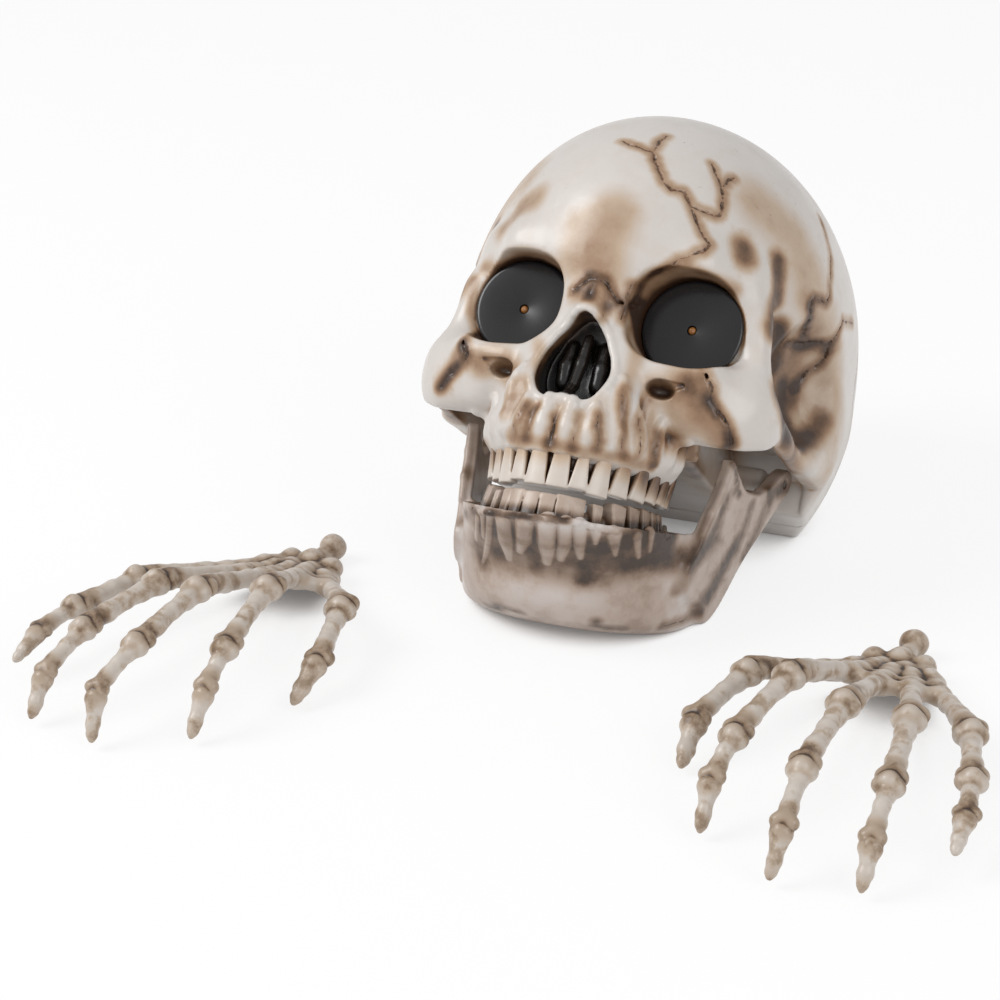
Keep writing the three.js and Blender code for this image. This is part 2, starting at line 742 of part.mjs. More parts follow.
const above_plate = plate_thickness + overrun;
const bay_opening = block(
  new THREE.Vector3(-bay_x, bay_front, -overrun), new THREE.Vector3(bay_x, bay_back, above_plate),
);
const door_pocket = block(
  new THREE.Vector3(-bay_x - door_overlap, bay_front - door_overlap, -overrun),
  new THREE.Vector3(bay_x + door_overlap, bay_back + door_overlap, door_high + gap),
).add(block(
  new THREE.Vector3(-tab_x - gap, bay_back, -overrun),
  new THREE.Vector3(tab_x + gap, tab_back + gap, door_high + gap),
));
const slot_x = (knob_length + switch_travel) / 2 + gap;
const switch_slot = block(
  new THREE.Vector3(-switch_side - slot_x, switch_y - knob_width / 2 - gap, -overrun),
  new THREE.Vector3(-switch_side + slot_x, switch_y + knob_width / 2 + gap, above_plate),
);

function counterbored(at) {
  const through = upright(at, -overrun, plate_thickness + overrun, screw_diameter + 2 * gap);
  return through.add(upright(at, -overrun, screw_head_height + 2 * gap, screw_head + 2 * gap));
}

const plate_slab = block(
  new THREE.Vector3(-reach, -reach, 0), new THREE.Vector3(reach, reach, plate_thickness),
);
const cut_plate = plate_slab.intersect(hollow_solid(wall + gap))
  .subtract(bay_opening).subtract(door_pocket).subtract(switch_slot)
  .subtract(join(base_screw_places.map((at) => on_both_sides(counterbored(at)))));

// The door closes the bay. Its tab carries a captive screw, and its front edge is the hinge.

const door_front = bay_front - door_overlap + gap;
const door_screw_place = new THREE.Vector3(0, bay_back + door_overlap + door_tab_depth / 2, 0);
const door_half_width = bay_x + door_overlap - gap;
const door_screw_hole = screw_diameter + 2 * gap;
const door_screw_low = door_low - gap / 2;
const door_screw_seat = door_screw_low + door_screw_head_height + gap;
const door_leaf = block(
  new THREE.Vector3(-door_half_width, door_front, door_low),
  new THREE.Vector3(door_half_width, bay_back + door_overlap - gap, door_high),
);
const door_tab = block(
  new THREE.Vector3(-tab_x, bay_back, door_low), new THREE.Vector3(tab_x, tab_back, door_high),
);
const battery_door = door_leaf.add(door_tab)
  .subtract(upright(door_screw_place, door_low - overrun, door_high + overrun, door_screw_hole))
  .subtract(upright(door_screw_place, door_low - overrun, door_screw_seat, screw_head + 2 * gap));

// The door's screw sinks into a hole of the plate

const door_screw_length = plate_thickness - door_screw_seat + gap;
const base_plate = cut_plate.subtract(upright(
  door_screw_place, -overrun, plate_thickness + overrun, screw_diameter * door_screw_hole_share,
));

// A screw with its head at one point and its shank towards another

function screw(head_end, towards, length, head_height = screw_head_height) {
  const radius = screw_diameter / 2;
  const head = screw_head / 2;
  const tip = head_height + length;
  const chamfer = radius / 2;
  const profile = [
    [0, 0], [head, 0], [head, head_height], [radius, head_height],
    [radius, tip - chamfer], [chamfer, tip], [0, tip],
  ];
  return turned(profile, head_end, towards, small_sides);
}

function screw_up(at, low, length, head_height) {
  return screw(at.clone().setZ(low), at.clone().setZ(reach), length, head_height);
}

// Battery box: an upturned tray on the plate, over the bay

const box_low = plate_thickness + gap;
const cell_low = door_high + gap;
const cell_high = cell_low + cell_diameter;
const box_inner_high = cell_high + gap;
const box_high = box_inner_high + box_wall;
const board_low = box_high + standoff_height;
const board_high = board_low + board_thickness;
const bay_middle = (bay_front + bay_back) / 2;

function box_between(margin, low, high) {
  return block(
    new THREE.Vector3(-bay_x - margin, bay_front - margin, low),
    new THREE.Vector3(bay_x + margin, bay_back + margin, high),
  );
}

const board_screw_places = [-1, 1].map((side) => new THREE.Vector3(
  side * (board_length / 2 - board_screw_inset),
  bay_middle + side * (board_width / 2 - board_screw_inset), 0,
));
const standoffs = join(board_screw_places.map((at) => (
  upright(at, box_high - box_wall / 2, board_low - gap, standoff_diameter)
)));
const standoff_bores = join(board_screw_places.map((at) => (
  upright(at, box_high + gap, board_high, screw_diameter + gap)
)));
const battery_box = box_between(box_wall, box_low, box_high)
  .subtract(box_between(0, box_low - overrun, box_inner_high))
  .add(standoffs).subtract(standoff_bores);

function cell_y(index) {
  return bay_front + gap + (index + 0.5) * (cell_diameter + gap) - gap / 2;
}

const cell_middle_z = (cell_low + cell_high) / 2;

function cell(index) {
  const side = index % 2 === 0 ? 1 : -1;
  const half = cell_length / 2;
  const from = new THREE.Vector3(-side * half, cell_y(index), cell_middle_z);
  const to = new THREE.Vector3(side * half, cell_y(index), cell_middle_z);
  const radius = cell_diameter / 2;
  const nub = cell_nub_diameter / 2;
  const body_end = cell_length - cell_nub_height;
  const profile = [
    [0, 0], [radius, 0], [radius, body_end], [nub, body_end], [nub, cell_length], [0, cell_length],
  ];
  return turned(profile, from, to);
}

// A contact is a small plate on the box's end wall. The one at a cell's flat end has a spring.

function contact_plate(index, side) {
  const wall_x = side * (bay_x - gap);
  const face_x = wall_x - side * contact_thickness;
  const y = cell_y(index);
  const half = contact_width / 2;
  return block(
    new THREE.Vector3(Math.min(wall_x, face_x), y - half, cell_middle_z - half),
    new THREE.Vector3(Math.max(wall_x, face_x), y + half, cell_middle_z + half),
  );
}

function contact_spring(index, side) {
  const start_x = bay_x - gap - contact_thickness / 2;
  const end_x = cell_length / 2 + gap + spring_wire / 2;
  const steps = spring_steps * spring_turns;
  const points = [];
  for (let step = 0; step <= steps; step += 1) {
    const angle = 2 * Math.PI * step / spring_steps;
    const x = start_x + (end_x - start_x) * step / steps;
    const radius = (spring_diameter - spring_wire) / 2;
    const y = cell_y(index) + radius * Math.cos(angle);
    points.push(new THREE.Vector3(side * x, y, cell_middle_z + radius * Math.sin(angle)));
  }
  const shape = new THREE.Shape().absarc(0, 0, spring_wire / 2, 0, 2 * Math.PI);
  const path = new THREE.CatmullRomCurve3(points);
  return to_solid(new THREE.ExtrudeGeometry(shape, { steps, curveSegments: 3, extrudePath: path }));
}

function button_contact(index, side) {
  const wall_x = side * (bay_x - gap);
  const face = new THREE.Vector3(wall_x, cell_y(index), cell_middle_z);
  const end = face.clone().setX(side * (cell_length / 2 + gap));
  return contact_plate(index, side).add(rod(face, end, cell_nub_diameter, small_sides));
}

// Circuit board, switch and its knob

const circuit_board = block(
  new THREE.Vector3(-board_length / 2, bay_middle - board_width / 2, board_low),
  new THREE.Vector3(board_length / 2, bay_middle + board_width / 2, board_high),
).subtract(join(board_screw_places.map((at) => (
  upright(at, board_low - overrun, board_high + overrun, screw_diameter + 2 * gap)
))));

const knob_height = plate_thickness - door_low;
const switch_low = plate_thickness + gap;
const switch_place = new THREE.Vector3(-switch_side, switch_y, 0);
const knob_x = -switch_side - switch_travel / 2;
const knob_well = block(
  new THREE.Vector3(knob_x - knob_length / 2 - gap, switch_y - knob_width / 2 - gap, switch_low - overrun),
  new THREE.Vector3(
    knob_x + knob_length / 2 + switch_travel + gap, switch_y + knob_width / 2 + gap,
    switch_low + knob_head + gap,
  ),
);
const switch_body = block(
  new THREE.Vector3(-switch_side - switch_length / 2, switch_y - switch_width / 2, switch_low),
  new THREE.Vector3(-switch_side + switch_length / 2, switch_y + switch_width / 2, switch_low + switch_height),
).subtract(knob_well);
const switch_knob = block(
  new THREE.Vector3(knob_x - knob_length / 2, switch_y - knob_width / 2, plate_thickness - knob_height),
  new THREE.Vector3(knob_x + knob_length / 2, switch_y + knob_width / 2, switch_low + knob_head),
);

// Eye disc, light and light holder, along the head's y axis

function eye_disc(side) {
  const disc = rod(at_eye(eye.y, side), at_eye(eye.y + eye_thickness, side), eye_diameter, socket_sides);
  const hole = rod(
    at_eye(eye.y - overrun, side), at_eye(socket_front + overrun, side), led_diameter + 2 * gap, small_sides,
  );
  return disc.subtract(hole);
}

const led_tip = eye.y - led_stand;
const led_back = led_tip + led_length;
const led_seat_diameter = led_diameter + 2 * led_flange;
const holder_back = socket_back + gap + holder_flange + holder_depth;

function led(side) {
  const radius = led_diameter / 2;
  const flange = led_seat_diameter / 2;
  const shoulder = led_length - radius;
  const profile = [
    [0, 0], [flange, 0], [flange, led_flange_height], [radius, led_flange_height],
    [radius, shoulder], [radius * Math.SQRT1_2, shoulder + radius * Math.SQRT1_2], [0, led_length],
  ];
  return turned(profile, at_eye(led_back, side), at_eye(led_tip, side), small_sides);
}

function led_holder(side) {
  const outer = rod(at_eye(socket_front, side), at_eye(holder_back, side), holder_diameter);
  const flange_from = at_eye(socket_back + gap, side);
  const flange_to = at_eye(socket_back + gap + holder_flange, side);
  const flange = rod(flange_from, flange_to, holder_diameter + 2 * holder_flange);
  const bore = rod(
    at_eye(socket_front - overrun, side), at_eye(holder_back + overrun, side), led_seat_diameter + 2 * gap,
  );
  return outer.add(flange).subtract(bore);
}

// Wires, each a route of points chosen by hand between its two ends

const wire_lift = 3 * wire_diameter;

function led_wire(side) {
  const start = at_eye(led_back + gap, side);
  const leave = at_eye(holder_back + wire_diameter, side);
  const end = new THREE.Vector3(side * board_length / 5, bay_middle, board_high + gap);
  const above = end.clone().setZ(end.z + wire_lift);
  const route = led_wire_shares.map(([x, y, z]) => head_place([side * x, y, z]));
  return tube([start, leave, ...route, above, end], wire_diameter);
}

const battery_wire_start = new THREE.Vector3(-bay_x + contact_room, bay_middle, box_high + gap);
const battery_wire_end = new THREE.Vector3(-board_length / 2 + wire_lift, bay_middle, board_high + gap);
const battery_wire = tube([
  battery_wire_start,
  battery_wire_start.clone().setZ(board_high),
  battery_wire_start.clone().lerp(battery_wire_end, 0.5).setZ(board_high + wire_lift),
  battery_wire_end.clone().setZ(board_high + wire_diameter),
  battery_wire_end,
], wire_diameter);

const switch_wire_start = switch_place.clone().setZ(switch_low + switch_height + gap);
const switch_wire_end = new THREE.Vector3(-wire_lift / 2, bay_middle + board_width / 3, board_high + gap);
const switch_wire = tube([
  switch_wire_start,
  switch_wire_start.clone().setZ(box_high),
  switch_wire_start.clone().lerp(switch_wire_end, 0.5).setZ(board_high + wire_lift),
  switch_wire_end.clone().setZ(board_high + wire_diameter),
  switch_wire_end,
], wire_diameter);

// Lower jaw: a horseshoe loft, a plate on each side up to the hinge, and the lower teeth

function horseshoe_point(level, angle, inside) {
  const inset = inside ? level.deep : 0;
  const square = level.square ?? 1;
  const sine = Math.sign(Math.sin(angle)) * Math.abs(Math.sin(angle)) ** square;
  const cosine = Math.max(Math.cos(angle), 0) ** square;
  const x = (level.half_width - inset) * sine;
  const y = level.back - (level.reach - inset) * cosine;
  const rise = (level.rise ?? 0) * (1 - cosine);
  return place([x, y, (level.height ?? 0) + rise]);
}

function jaw_top_point(angle, inside) {
  return horseshoe_point(jaw_top_shares, angle, inside).applyMatrix4(head_matrix);
}

function jaw_point(level_index, step, inside) {
  const angle = Math.PI * (step / jaw_steps - 0.5);
  const top = jaw_top_point(angle, inside);
  if (level_index === jaw_level_shares.length) return top;
  const level = jaw_level_shares[level_index];
  return horseshoe_point(level, angle, inside).setZ(level.lift * top.z);
}

function jaw_horseshoe() {
  const levels = jaw_level_shares.length + 1;
  const points = [];
  for (let level = 0; level < levels; level += 1) {
    for (let step = 0; step <= jaw_steps; step += 1) {
      points.push(jaw_point(level, step, false), jaw_point(level, step, true));
    }
  }
  const at = (level, step, inside) => (level * (jaw_steps + 1) + step) * 2 + inside;
  const faces = [];
  const quad = (a, b, c, d) => faces.push([a, b, c], [a, c, d]);
  for (let step = 0; step < jaw_steps; step += 1) {
    for (let level = 0; level < levels - 1; level += 1) {
      quad(at(level, step, 0), at(level, step + 1, 0), at(level + 1, step + 1, 0), at(level + 1, step, 0));
      quad(at(level, step + 1, 1), at(level, step, 1), at(level + 1, step, 1), at(level + 1, step + 1, 1));
    }
    const top = levels - 1;
    quad(at(0, step, 1), at(0, step + 1, 1), at(0, step + 1, 0), at(0, step, 0));
    quad(at(top, step, 0), at(top, step + 1, 0), at(top, step + 1, 1), at(top, step, 1));
  }
  for (let level = 0; level < levels - 1; level += 1) {
    quad(at(level, 0, 1), at(level, 0, 0), at(level + 1, 0, 0), at(level + 1, 0, 1));
    const end = jaw_steps;
    quad(at(level, end, 0), at(level, end, 1), at(level + 1, end, 1), at(level + 1, end, 0));
  }
  return indexed_solid(points, faces);
}

function ramus() {
  const outline = ramus_side_shares.map(([y, z]) => [y * face_height, z * face_height]);
  const plate = to_geometry(side_plate(outline, -ramus_thickness, 0));
  const corner = place([jaw_corner_shares.x, jaw_corner_shares.y, 0]);
  const flare = new THREE.Matrix4().makeShear(0, 0, ramus_flare_share, 0, 0, 0);
  const shift = new THREE.Matrix4().makeTranslation(corner.x - ramus_flare_share * corner.y, 0, 0);
  return to_solid(plate, shift.multiply(flare));
}

const condyle_bore = rod(
  at_hinge(ramus_inner - overrun), at_hinge(ramus_outer + overrun), hinge_pin_diameter + 2 * hinge_gap,
);
const lower_jaw = jaw_horseshoe()
  .add(on_both_sides(ramus()))
  .add(teeth(lower_tooth_shares, lower_tooth_length_shares, 1))
  .subtract(on_both_sides(condyle_bore))
  .subtract(surface_cut);

function hinge_pin(side) {
  const head_end = at_hinge(side * (boss_inner - gap - hinge_pin_head_height));
  const head = hinge_pin_head / 2;
  const radius = hinge_pin_diameter / 2;
  const length = ramus_outer - boss_inner + hinge_pin_head_height;
  const profile = [
    [0, 0], [head, 0], [head, hinge_pin_head_height], [radius, hinge_pin_head_height],
    [radius, length], [0, length],
  ];
  return turned(profile, head_end, at_hinge(side * reach));
}

// Hands: each finger is a chain of bones with swollen ends, on a palm of five long bones

function hand_point([x, y, z], radius) {
  const height = Math.max(z * knuckle_height, radius);
  return new THREE.Vector3(x * hand_width, -y * hand_length, height);
}

function bone(from, to, start_radius, end_radius) {
  const length = from.distanceTo(to);
  const waist = bone_waist_share * Math.min(start_radius, end_radius);
  const waist_start = length * bone_waist_start_share;
  const profile = [
    [0, -start_radius * bone_cap_share], [start_radius, 0], [waist, waist_start],
    [waist, length - waist_start], [end_radius, length], [0, length + end_radius * bone_cap_share],
  ];
  return turned(profile, from, to, bone_sides);
}

function finger(index) {
  const thick = bone_diameter / 2;
  const joints = finger_shares[index];
  const radii = joints.map((joint, knuckle) => thick * bone_end_shares[knuckle]);
  radii[radii.length - 1] = thick * tip_share;
  const points = joints.map((joint, knuckle) => hand_point(joint, radii[knuckle]));
  const root = hand_point(palm_shares[index], thick);
  const bones = [bone(root, points[0], thick, radii[0])];
  for (let knuckle = 1; knuckle < points.length; knuckle += 1) {
    bones.push(bone(points[knuckle - 1], points[knuckle], radii[knuckle - 1], radii[knuckle]));
  }
  return join(bones);
}

function hand() {
  const radius = wrist_ball_diameter / 2;
  const centre = new THREE.Vector3(0, 0, radius);
  const wrist = hand_point(wrist_shares, radius);
  const palm_centre = hand_point(palm_shares[2], radius);
  const palm_size = new THREE.Vector3(...carpus_size_shares).multiply(
    new THREE.Vector3(hand_width, hand_length, knuckle_height),
  );
  const ball_size = new THREE.Vector3(radius, radius, radius);
  return join([
    ball(centre, ball_size, small_sides),
    bone(centre, wrist, radius * neck_share, radius * neck_share),
    bone(wrist, palm_centre, radius, radius),
    ball(palm_centre, palm_size, small_sides),
    ...finger_shares.map((joints, index) => finger(index)),
  ]).subtract(surface_cut);
}

// The whole set. Its origin is on the base plate's underside, just in front of the door.

const origin_y = bay_front - door_overlap - origin_inset;
const group = new THREE.Group();
group.position.set(0, -origin_y, 0);

function add_mesh(name, solid, colour, roughness = 0.5, metalness = 0, parent = group) {
  const material = new THREE.MeshStandardMaterial({ color: colour, roughness, metalness });
  const mesh = new THREE.Mesh(to_geometry(solid), material);
  mesh.name = name;
  parent.add(mesh);
  return mesh;
}

function add_pair(name, make, colour, roughness, metalness) {
  add_mesh(`${name}_left`, make(1), colour, roughness, metalness);
  add_mesh(`${name}_right`, make(-1), colour, roughness, metalness);
}

function add_steel(name, solid) {
  add_mesh(name, solid, steel_colour, 0.35, 1);
}

add_mesh('cranium_front_shell', front_shell, bone_colour, 0.45);
add_mesh('cranium_rear_shell', rear_shell, bone_colour, 0.45);
add_mesh('lower_jaw', lower_jaw, jaw_colour, 0.5);
add_pair('jaw_hinge_pin', hinge_pin, steel_colour, 0.35, 1);
add_pair('eye_disc', eye_disc, disc_colour, 0.3);
add_pair('eye_led', led, amber_colour, 0.2);
add_pair('led_holder', led_holder, black_colour, 0.6);
add_pair('led_wire', led_wire, black_colour, 0.6);

[-1, 1].forEach((side) => {
  const name = side > 0 ? 'left' : 'right';
  const head = at_lug(lug_back + gap + screw_head_height);
  const towards = at_lug(0);
  head.x *= side;
  towards.x *= side;
  add_steel(`shell_screw_${name}`, screw(head, towards, screw_length));
  base_screw_places.forEach((at, index) => {
    const where = at.clone().setX(side * at.x);
    add_steel(`base_screw_${name}_${index + 1}`, screw_up(where, gap, screw_length));
  });
});

add_mesh('base_plate', base_plate, black_colour, 0.6);
add_mesh('battery_door', battery_door, black_colour, 0.6);
add_steel('battery_door_screw', screw_up(
  door_screw_place, door_screw_low, door_screw_length, door_screw_head_height,
));
add_mesh('battery_box', battery_box, black_colour, 0.6);
for (let index = 0; index < cell_count; index += 1) {
  const side = index % 2 === 0 ? 1 : -1;
  add_mesh(`battery_cell_${index + 1}`, cell(index), cell_colour, 0.4);
  add_steel(`spring_contact_${index + 1}`, contact_plate(index, -side).add(contact_spring(index, -side)));
  add_steel(`button_contact_${index + 1}`, button_contact(index, side));
}
add_mesh('circuit_board', circuit_board, board_colour, 0.5);
board_screw_places.forEach((at, index) => {
  const head = at.clone().setZ(board_high + gap + screw_head_height);
  add_steel(`board_screw_${index + 1}`, screw(head, at.clone().setZ(-reach), short_screw_length));
});
add_mesh('switch_body', switch_body, steel_colour, 0.4, 1);
add_mesh('switch_knob', switch_knob, black_colour, 0.6);
add_mesh('battery_wire', battery_wire, black_colour, 0.6);
add_mesh('switch_wire', switch_wire, black_colour, 0.6);

const left_hand = hand();
for (const side of [1, -1]) {
  const at = side > 0 ? left_hand_place : right_hand_place;
  const holder = new THREE.Group();
  holder.position.set(at.x, at.y, 0);
  holder.rotation.z = hand_turn;
  group.add(holder);
  const name = side > 0 ? 'left_hand' : 'right_hand';
  add_mesh(name, side > 0 ? left_hand : mirrored(left_hand), hand_colour, 0.55, 0, holder);
}

export default group;
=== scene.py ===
# %% [markdown]
# # A halloween skull with two skeleton hands
# The real set is moulded plastic, painted by hand. A life-size skull looks up and forward, two dark
# discs with a tiny amber light fill its eye sockets, and its lower jaw hangs on two hinge pins. Two
# loose skeleton hands lie in front of it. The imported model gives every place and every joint. This
# script builds the visible shapes around it and paints them.

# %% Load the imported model
import bpy
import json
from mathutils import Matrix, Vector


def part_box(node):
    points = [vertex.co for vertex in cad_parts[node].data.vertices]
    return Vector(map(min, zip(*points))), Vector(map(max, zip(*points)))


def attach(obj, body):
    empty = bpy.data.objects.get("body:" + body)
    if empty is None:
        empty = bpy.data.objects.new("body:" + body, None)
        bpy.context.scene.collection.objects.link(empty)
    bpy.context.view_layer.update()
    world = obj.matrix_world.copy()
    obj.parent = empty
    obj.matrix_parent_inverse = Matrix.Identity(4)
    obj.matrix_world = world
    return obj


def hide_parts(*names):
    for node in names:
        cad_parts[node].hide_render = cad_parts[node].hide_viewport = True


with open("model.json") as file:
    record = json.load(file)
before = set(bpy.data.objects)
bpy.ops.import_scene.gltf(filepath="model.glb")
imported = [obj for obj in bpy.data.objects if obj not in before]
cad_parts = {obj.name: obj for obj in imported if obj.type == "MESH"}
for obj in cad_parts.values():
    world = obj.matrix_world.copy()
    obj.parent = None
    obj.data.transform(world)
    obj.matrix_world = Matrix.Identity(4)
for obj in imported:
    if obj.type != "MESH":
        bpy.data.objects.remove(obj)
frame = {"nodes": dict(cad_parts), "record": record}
bpy.context.view_layer.update()

# %% Units and axes
import copy
import json
import math
import numpy as np
import openvdb
from mathutils import Vector

mm = 0.001
grain = 0.65  # mm between the voxels that the large bones are sculpted in
fine_grain = 0.5  # the same for teeth, jaw and hands
head_tilt = math.radians(35)
tilt_cos = math.cos(head_tilt)
tilt_sin = math.sin(head_tilt)
head_rise = 60  # mm from the surface to the head's own midpoint
head_back = -26.5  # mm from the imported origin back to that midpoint, less than zero is forwards


def standing(y, z):
    """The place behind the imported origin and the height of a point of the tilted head, in mm."""
    return y * tilt_cos + z * tilt_sin + head_back, head_rise - y * tilt_sin + z * tilt_cos


def head_to_frame(points):
    """Points in the tilted head's own axes, in mm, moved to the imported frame, in metres."""
    y, z = standing(points[:, 1], points[:, 2])
    return np.column_stack([points[:, 0], y, z]) * mm


def frame_to_head(points):
    """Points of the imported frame, in metres, in the tilted head's own axes, in mm."""
    x, y, z = np.asarray(points, float).reshape(-1, 3).T / mm
    y = y - head_back
    z = z - head_rise
    return np.column_stack([x, y * tilt_cos - z * tilt_sin, y * tilt_sin + z * tilt_cos])


# %% [markdown]
# ## The camera
# A product photograph is taken with a long lens from a little above. The camera stands 900 mm from the
# chin, 21 degrees to the skull's left and 24 degrees above level. It also serves as a pointer below:
# a crack or a stain that a picture shows at a pixel is laid on the bone along that pixel's line of sight.

# %% Camera
image_side = 1000  # px
focal_length = 2430  # px
sensor_width = 36  # mm
camera_distance = 900  # mm
camera_azimuth = math.radians(21)
camera_elevation = math.radians(24)
chin_place = Vector((0, -0.1145, 0))
chin_pixel = (560, 629)
sight = Vector((
    -math.sin(camera_azimuth) * math.cos(camera_elevation),
    math.cos(camera_azimuth) * math.cos(camera_elevation),
    -math.sin(camera_elevation),
))
sight_right = Vector((math.cos(camera_azimuth), math.sin(camera_azimuth), 0))
sight_up = sight_right.cross(sight)


def line_of_sight(pixel):
    """The direction from the camera through a pixel of the square image."""
    across = (pixel[0] - image_side / 2) / focal_length
    down = (pixel[1] - image_side / 2) / focal_length
    return sight + sight_right * across - sight_up * down


camera_data = bpy.data.cameras.new("camera")
camera_data.sensor_width = sensor_width
camera_data.lens = focal_length / image_side * sensor_width
camera = bpy.data.objects.new("camera", camera_data)
camera.location = chin_place - line_of_sight(chin_pixel) * camera_distance * mm
camera.rotation_euler = sight.to_track_quat("-Z", "Y").to_euler()
bpy.context.scene.collection.objects.link(camera)
bpy.context.scene.camera = camera
print("Camera at", [round(value, 4) for value in camera.location])

# %% [markdown]
# ## Digital clay
# The real skull's mould was sculpted: lumps pressed together, holes scooped out, lines scratched in.
# Modelling the same way needs shapes that melt into each other, which is slow with polygons. Here each
# shape is a formula for the distance to its surface, negative inside. A block of voxels keeps the
# nearest surface, soft joins round the seams, and OpenVDB turns the zero level into a mesh.

# %% A block of clay
far = 20.0  # mm, the distance that an empty voxel starts with
margin = 3.0  # mm round a shape within which its formula is worked out


def melt(a, b, width):
    """The nearer of two surfaces, with the seam between them filled over a width."""
    if width == 0:
        return np.minimum(a, b)
    near = np.maximum(width - np.abs(a - b), 0) / width
    return np.minimum(a, b) - near * near * width / 4


class Clay:
    """A block of voxels with the distance to the clay's surface in mm, negative inside."""

    def __init__(self, low, high, step):
        self.low = np.array(low, float)
        self.step = step
        counts = np.ceil((np.array(high) - self.low) / step).astype(int) + 1
        self.axes = [(self.low[k] + step * np.arange(counts[k])).astype(np.float32) for k in range(3)]
        self.distance = np.full(counts, far, np.float32)

    def recut(self, distance):
        """The same block with another shape in it."""
        other = copy.copy(self)
        other.distance = distance
        return other

    def places(self):
        """The x, y and z of all voxels, ready for a formula."""
        x, y, z = self.axes
        return x[:, None, None], y[None, :, None], z[None, None, :]

    def window(self, low, high, soft):
        """The voxels in and round a box, as cuts through the block and as their x, y and z."""
        cuts = []
        low = low - soft - margin
        high = high + soft + margin
        for axis, start, end in zip(self.axes, low, high):
            cuts.append(slice(int(np.searchsorted(axis, start)), int(np.searchsorted(axis, end))))
        x, y, z = (axis[cut] for axis, cut in zip(self.axes, cuts))
        return tuple(cuts), (x[:, None, None], y[None, :, None], z[None, None, :])

    def press(self, shapes, soft=0.0):
        """Presses shapes onto the clay, one after the other."""
        for low, high, formula in shapes:
            cuts, place = self.window(low, high, soft)
            if self.distance[cuts].size:
                self.distance[cuts] = melt(self.distance[cuts], formula(*place), soft)

    def scoop(self, shapes, soft=0.0):
        """Takes shapes out of the clay."""
        for low, high, formula in shapes:
            cuts, place = self.window(low, high, soft)
            if self.distance[cuts].size:
                self.distance[cuts] = -melt(-self.distance[cuts], formula(*place), soft)

    def lay(self, shapes, soft, seam):
        """Melts shapes into one lump, and lays it on the clay with a sharp seam."""
        low = np.min([shape[0] for shape in shapes], axis=0)
        high = np.max([shape[1] for shape in shapes], axis=0)
        cuts, place = self.window(low, high, soft)
        lump = shapes[0][2](*place)
        for shape in shapes[1:]:
            lump = melt(lump, shape[2](*place), soft)
        self.distance[cuts] = melt(self.distance[cuts], lump, seam)

    def mirror(self):
        """Turns a half block, whose first layer lies on the midplane, into the whole block."""
        self.distance = np.concatenate([self.distance[:0:-1], self.distance])
        self.axes = [np.concatenate([-self.axes[0][:0:-1], self.axes[0]]), *self.axes[1:]]
        self.low = np.array([self.axes[0][0], *self.low[1:]])


# %% Shapes of clay
tiny = 1e-6


def egg(at, size):
    """An ellipsoid with its half sizes."""
    at = np.array(at, float)
    size = np.array(size, float)

    def formula(x, y, z):
        a, b, c = (x - at[0]) / size[0], (y - at[1]) / size[1], (z - at[2]) / size[2]
        radius = np.sqrt(a * a + b * b + c * c) + tiny
        slope = np.sqrt((a / size[0]) ** 2 + (b / size[1]) ** 2 + (c / size[2]) ** 2) + tiny
        return (radius * (radius - 1) / slope).astype(np.float32)

    return at - size, at + size, formula


def ball(at, radius):
    return egg(at, (radius, radius, radius))


def limb(start, end):
    """A round bar between two knots of x, y, z and radius."""
    start = np.array(start, float)
    end = np.array(end, float)
    line = end[:3] - start[:3]
    squared = max(float(line @ line), tiny)

    def formula(x, y, z):
        dx, dy, dz = x - start[0], y - start[1], z - start[2]
        part = np.clip((dx * line[0] + dy * line[1] + dz * line[2]) / squared, 0, 1)
        apart = (dx - part * line[0]) ** 2 + (dy - part * line[1]) ** 2 + (dz - part * line[2]) ** 2
        return (np.sqrt(apart) - start[3] - (end[3] - start[3]) * part).astype(np.float32)

    widest = max(start[3], end[3])
    return np.minimum(start, end)[:3] - widest, np.maximum(start, end)[:3] + widest, formula


def limbs(knots):
    """A chain of round bars through a list of knots."""
    return [limb(a, b) for a, b in zip(knots, knots[1:])]


def outline_distance(points, across, up):
    """The distance to a closed outline of points, on a grid of places across and up."""
    nearest = np.full(np.broadcast(across, up).shape, far * 4, np.float32)
    inside = np.zeros(nearest.shape, bool)
    for (a0, u0), (a1, u1) in zip(points, points[1:] + points[:1]):
        line = (a1 - a0, u1 - u0)
        squared = max(line[0] ** 2 + line[1] ** 2, tiny)
        part = np.clip(((across - a0) * line[0] + (up - u0) * line[1]) / squared, 0, 1)
        apart = np.hypot(across - a0 - part * line[0], up - u0 - part * line[1])
        nearest = np.minimum(nearest, apart)
        if u0 != u1:
            crossing = ((u0 > up) != (u1 > up)) & (across < (up - u0) / (u1 - u0) * line[0] + a0)
            inside ^= crossing
    return np.where(inside, -nearest, nearest)


def side_slab(points, x_low, x_high):
    """An outline of y and z, pushed out along x."""
    spread = np.array(points, float)
    low = np.array([x_low, *spread.min(axis=0)])
    high = np.array([x_high, *spread.max(axis=0)])

    def formula(x, y, z):
        flat = outline_distance(points, y, z)
        return np.maximum(flat, np.maximum(x_low - x, x - x_high)).astype(np.float32)

    return low, high, formula


def ripple(place, size, dice, waves=6):
    """A soft random relief between about -1 and 1, made of a few crossing waves."""
    total = 0
    for _ in range(waves):
        way = dice.normal(size=3)
        way = way / np.linalg.norm(way) * 2 * math.pi / size
        total = total + np.sin(place[0] * way[0] + place[1] * way[1] + place[2] * way[2] + dice.uniform(0, 6))
    return (total / math.sqrt(waves * 2)).astype(np.float32)


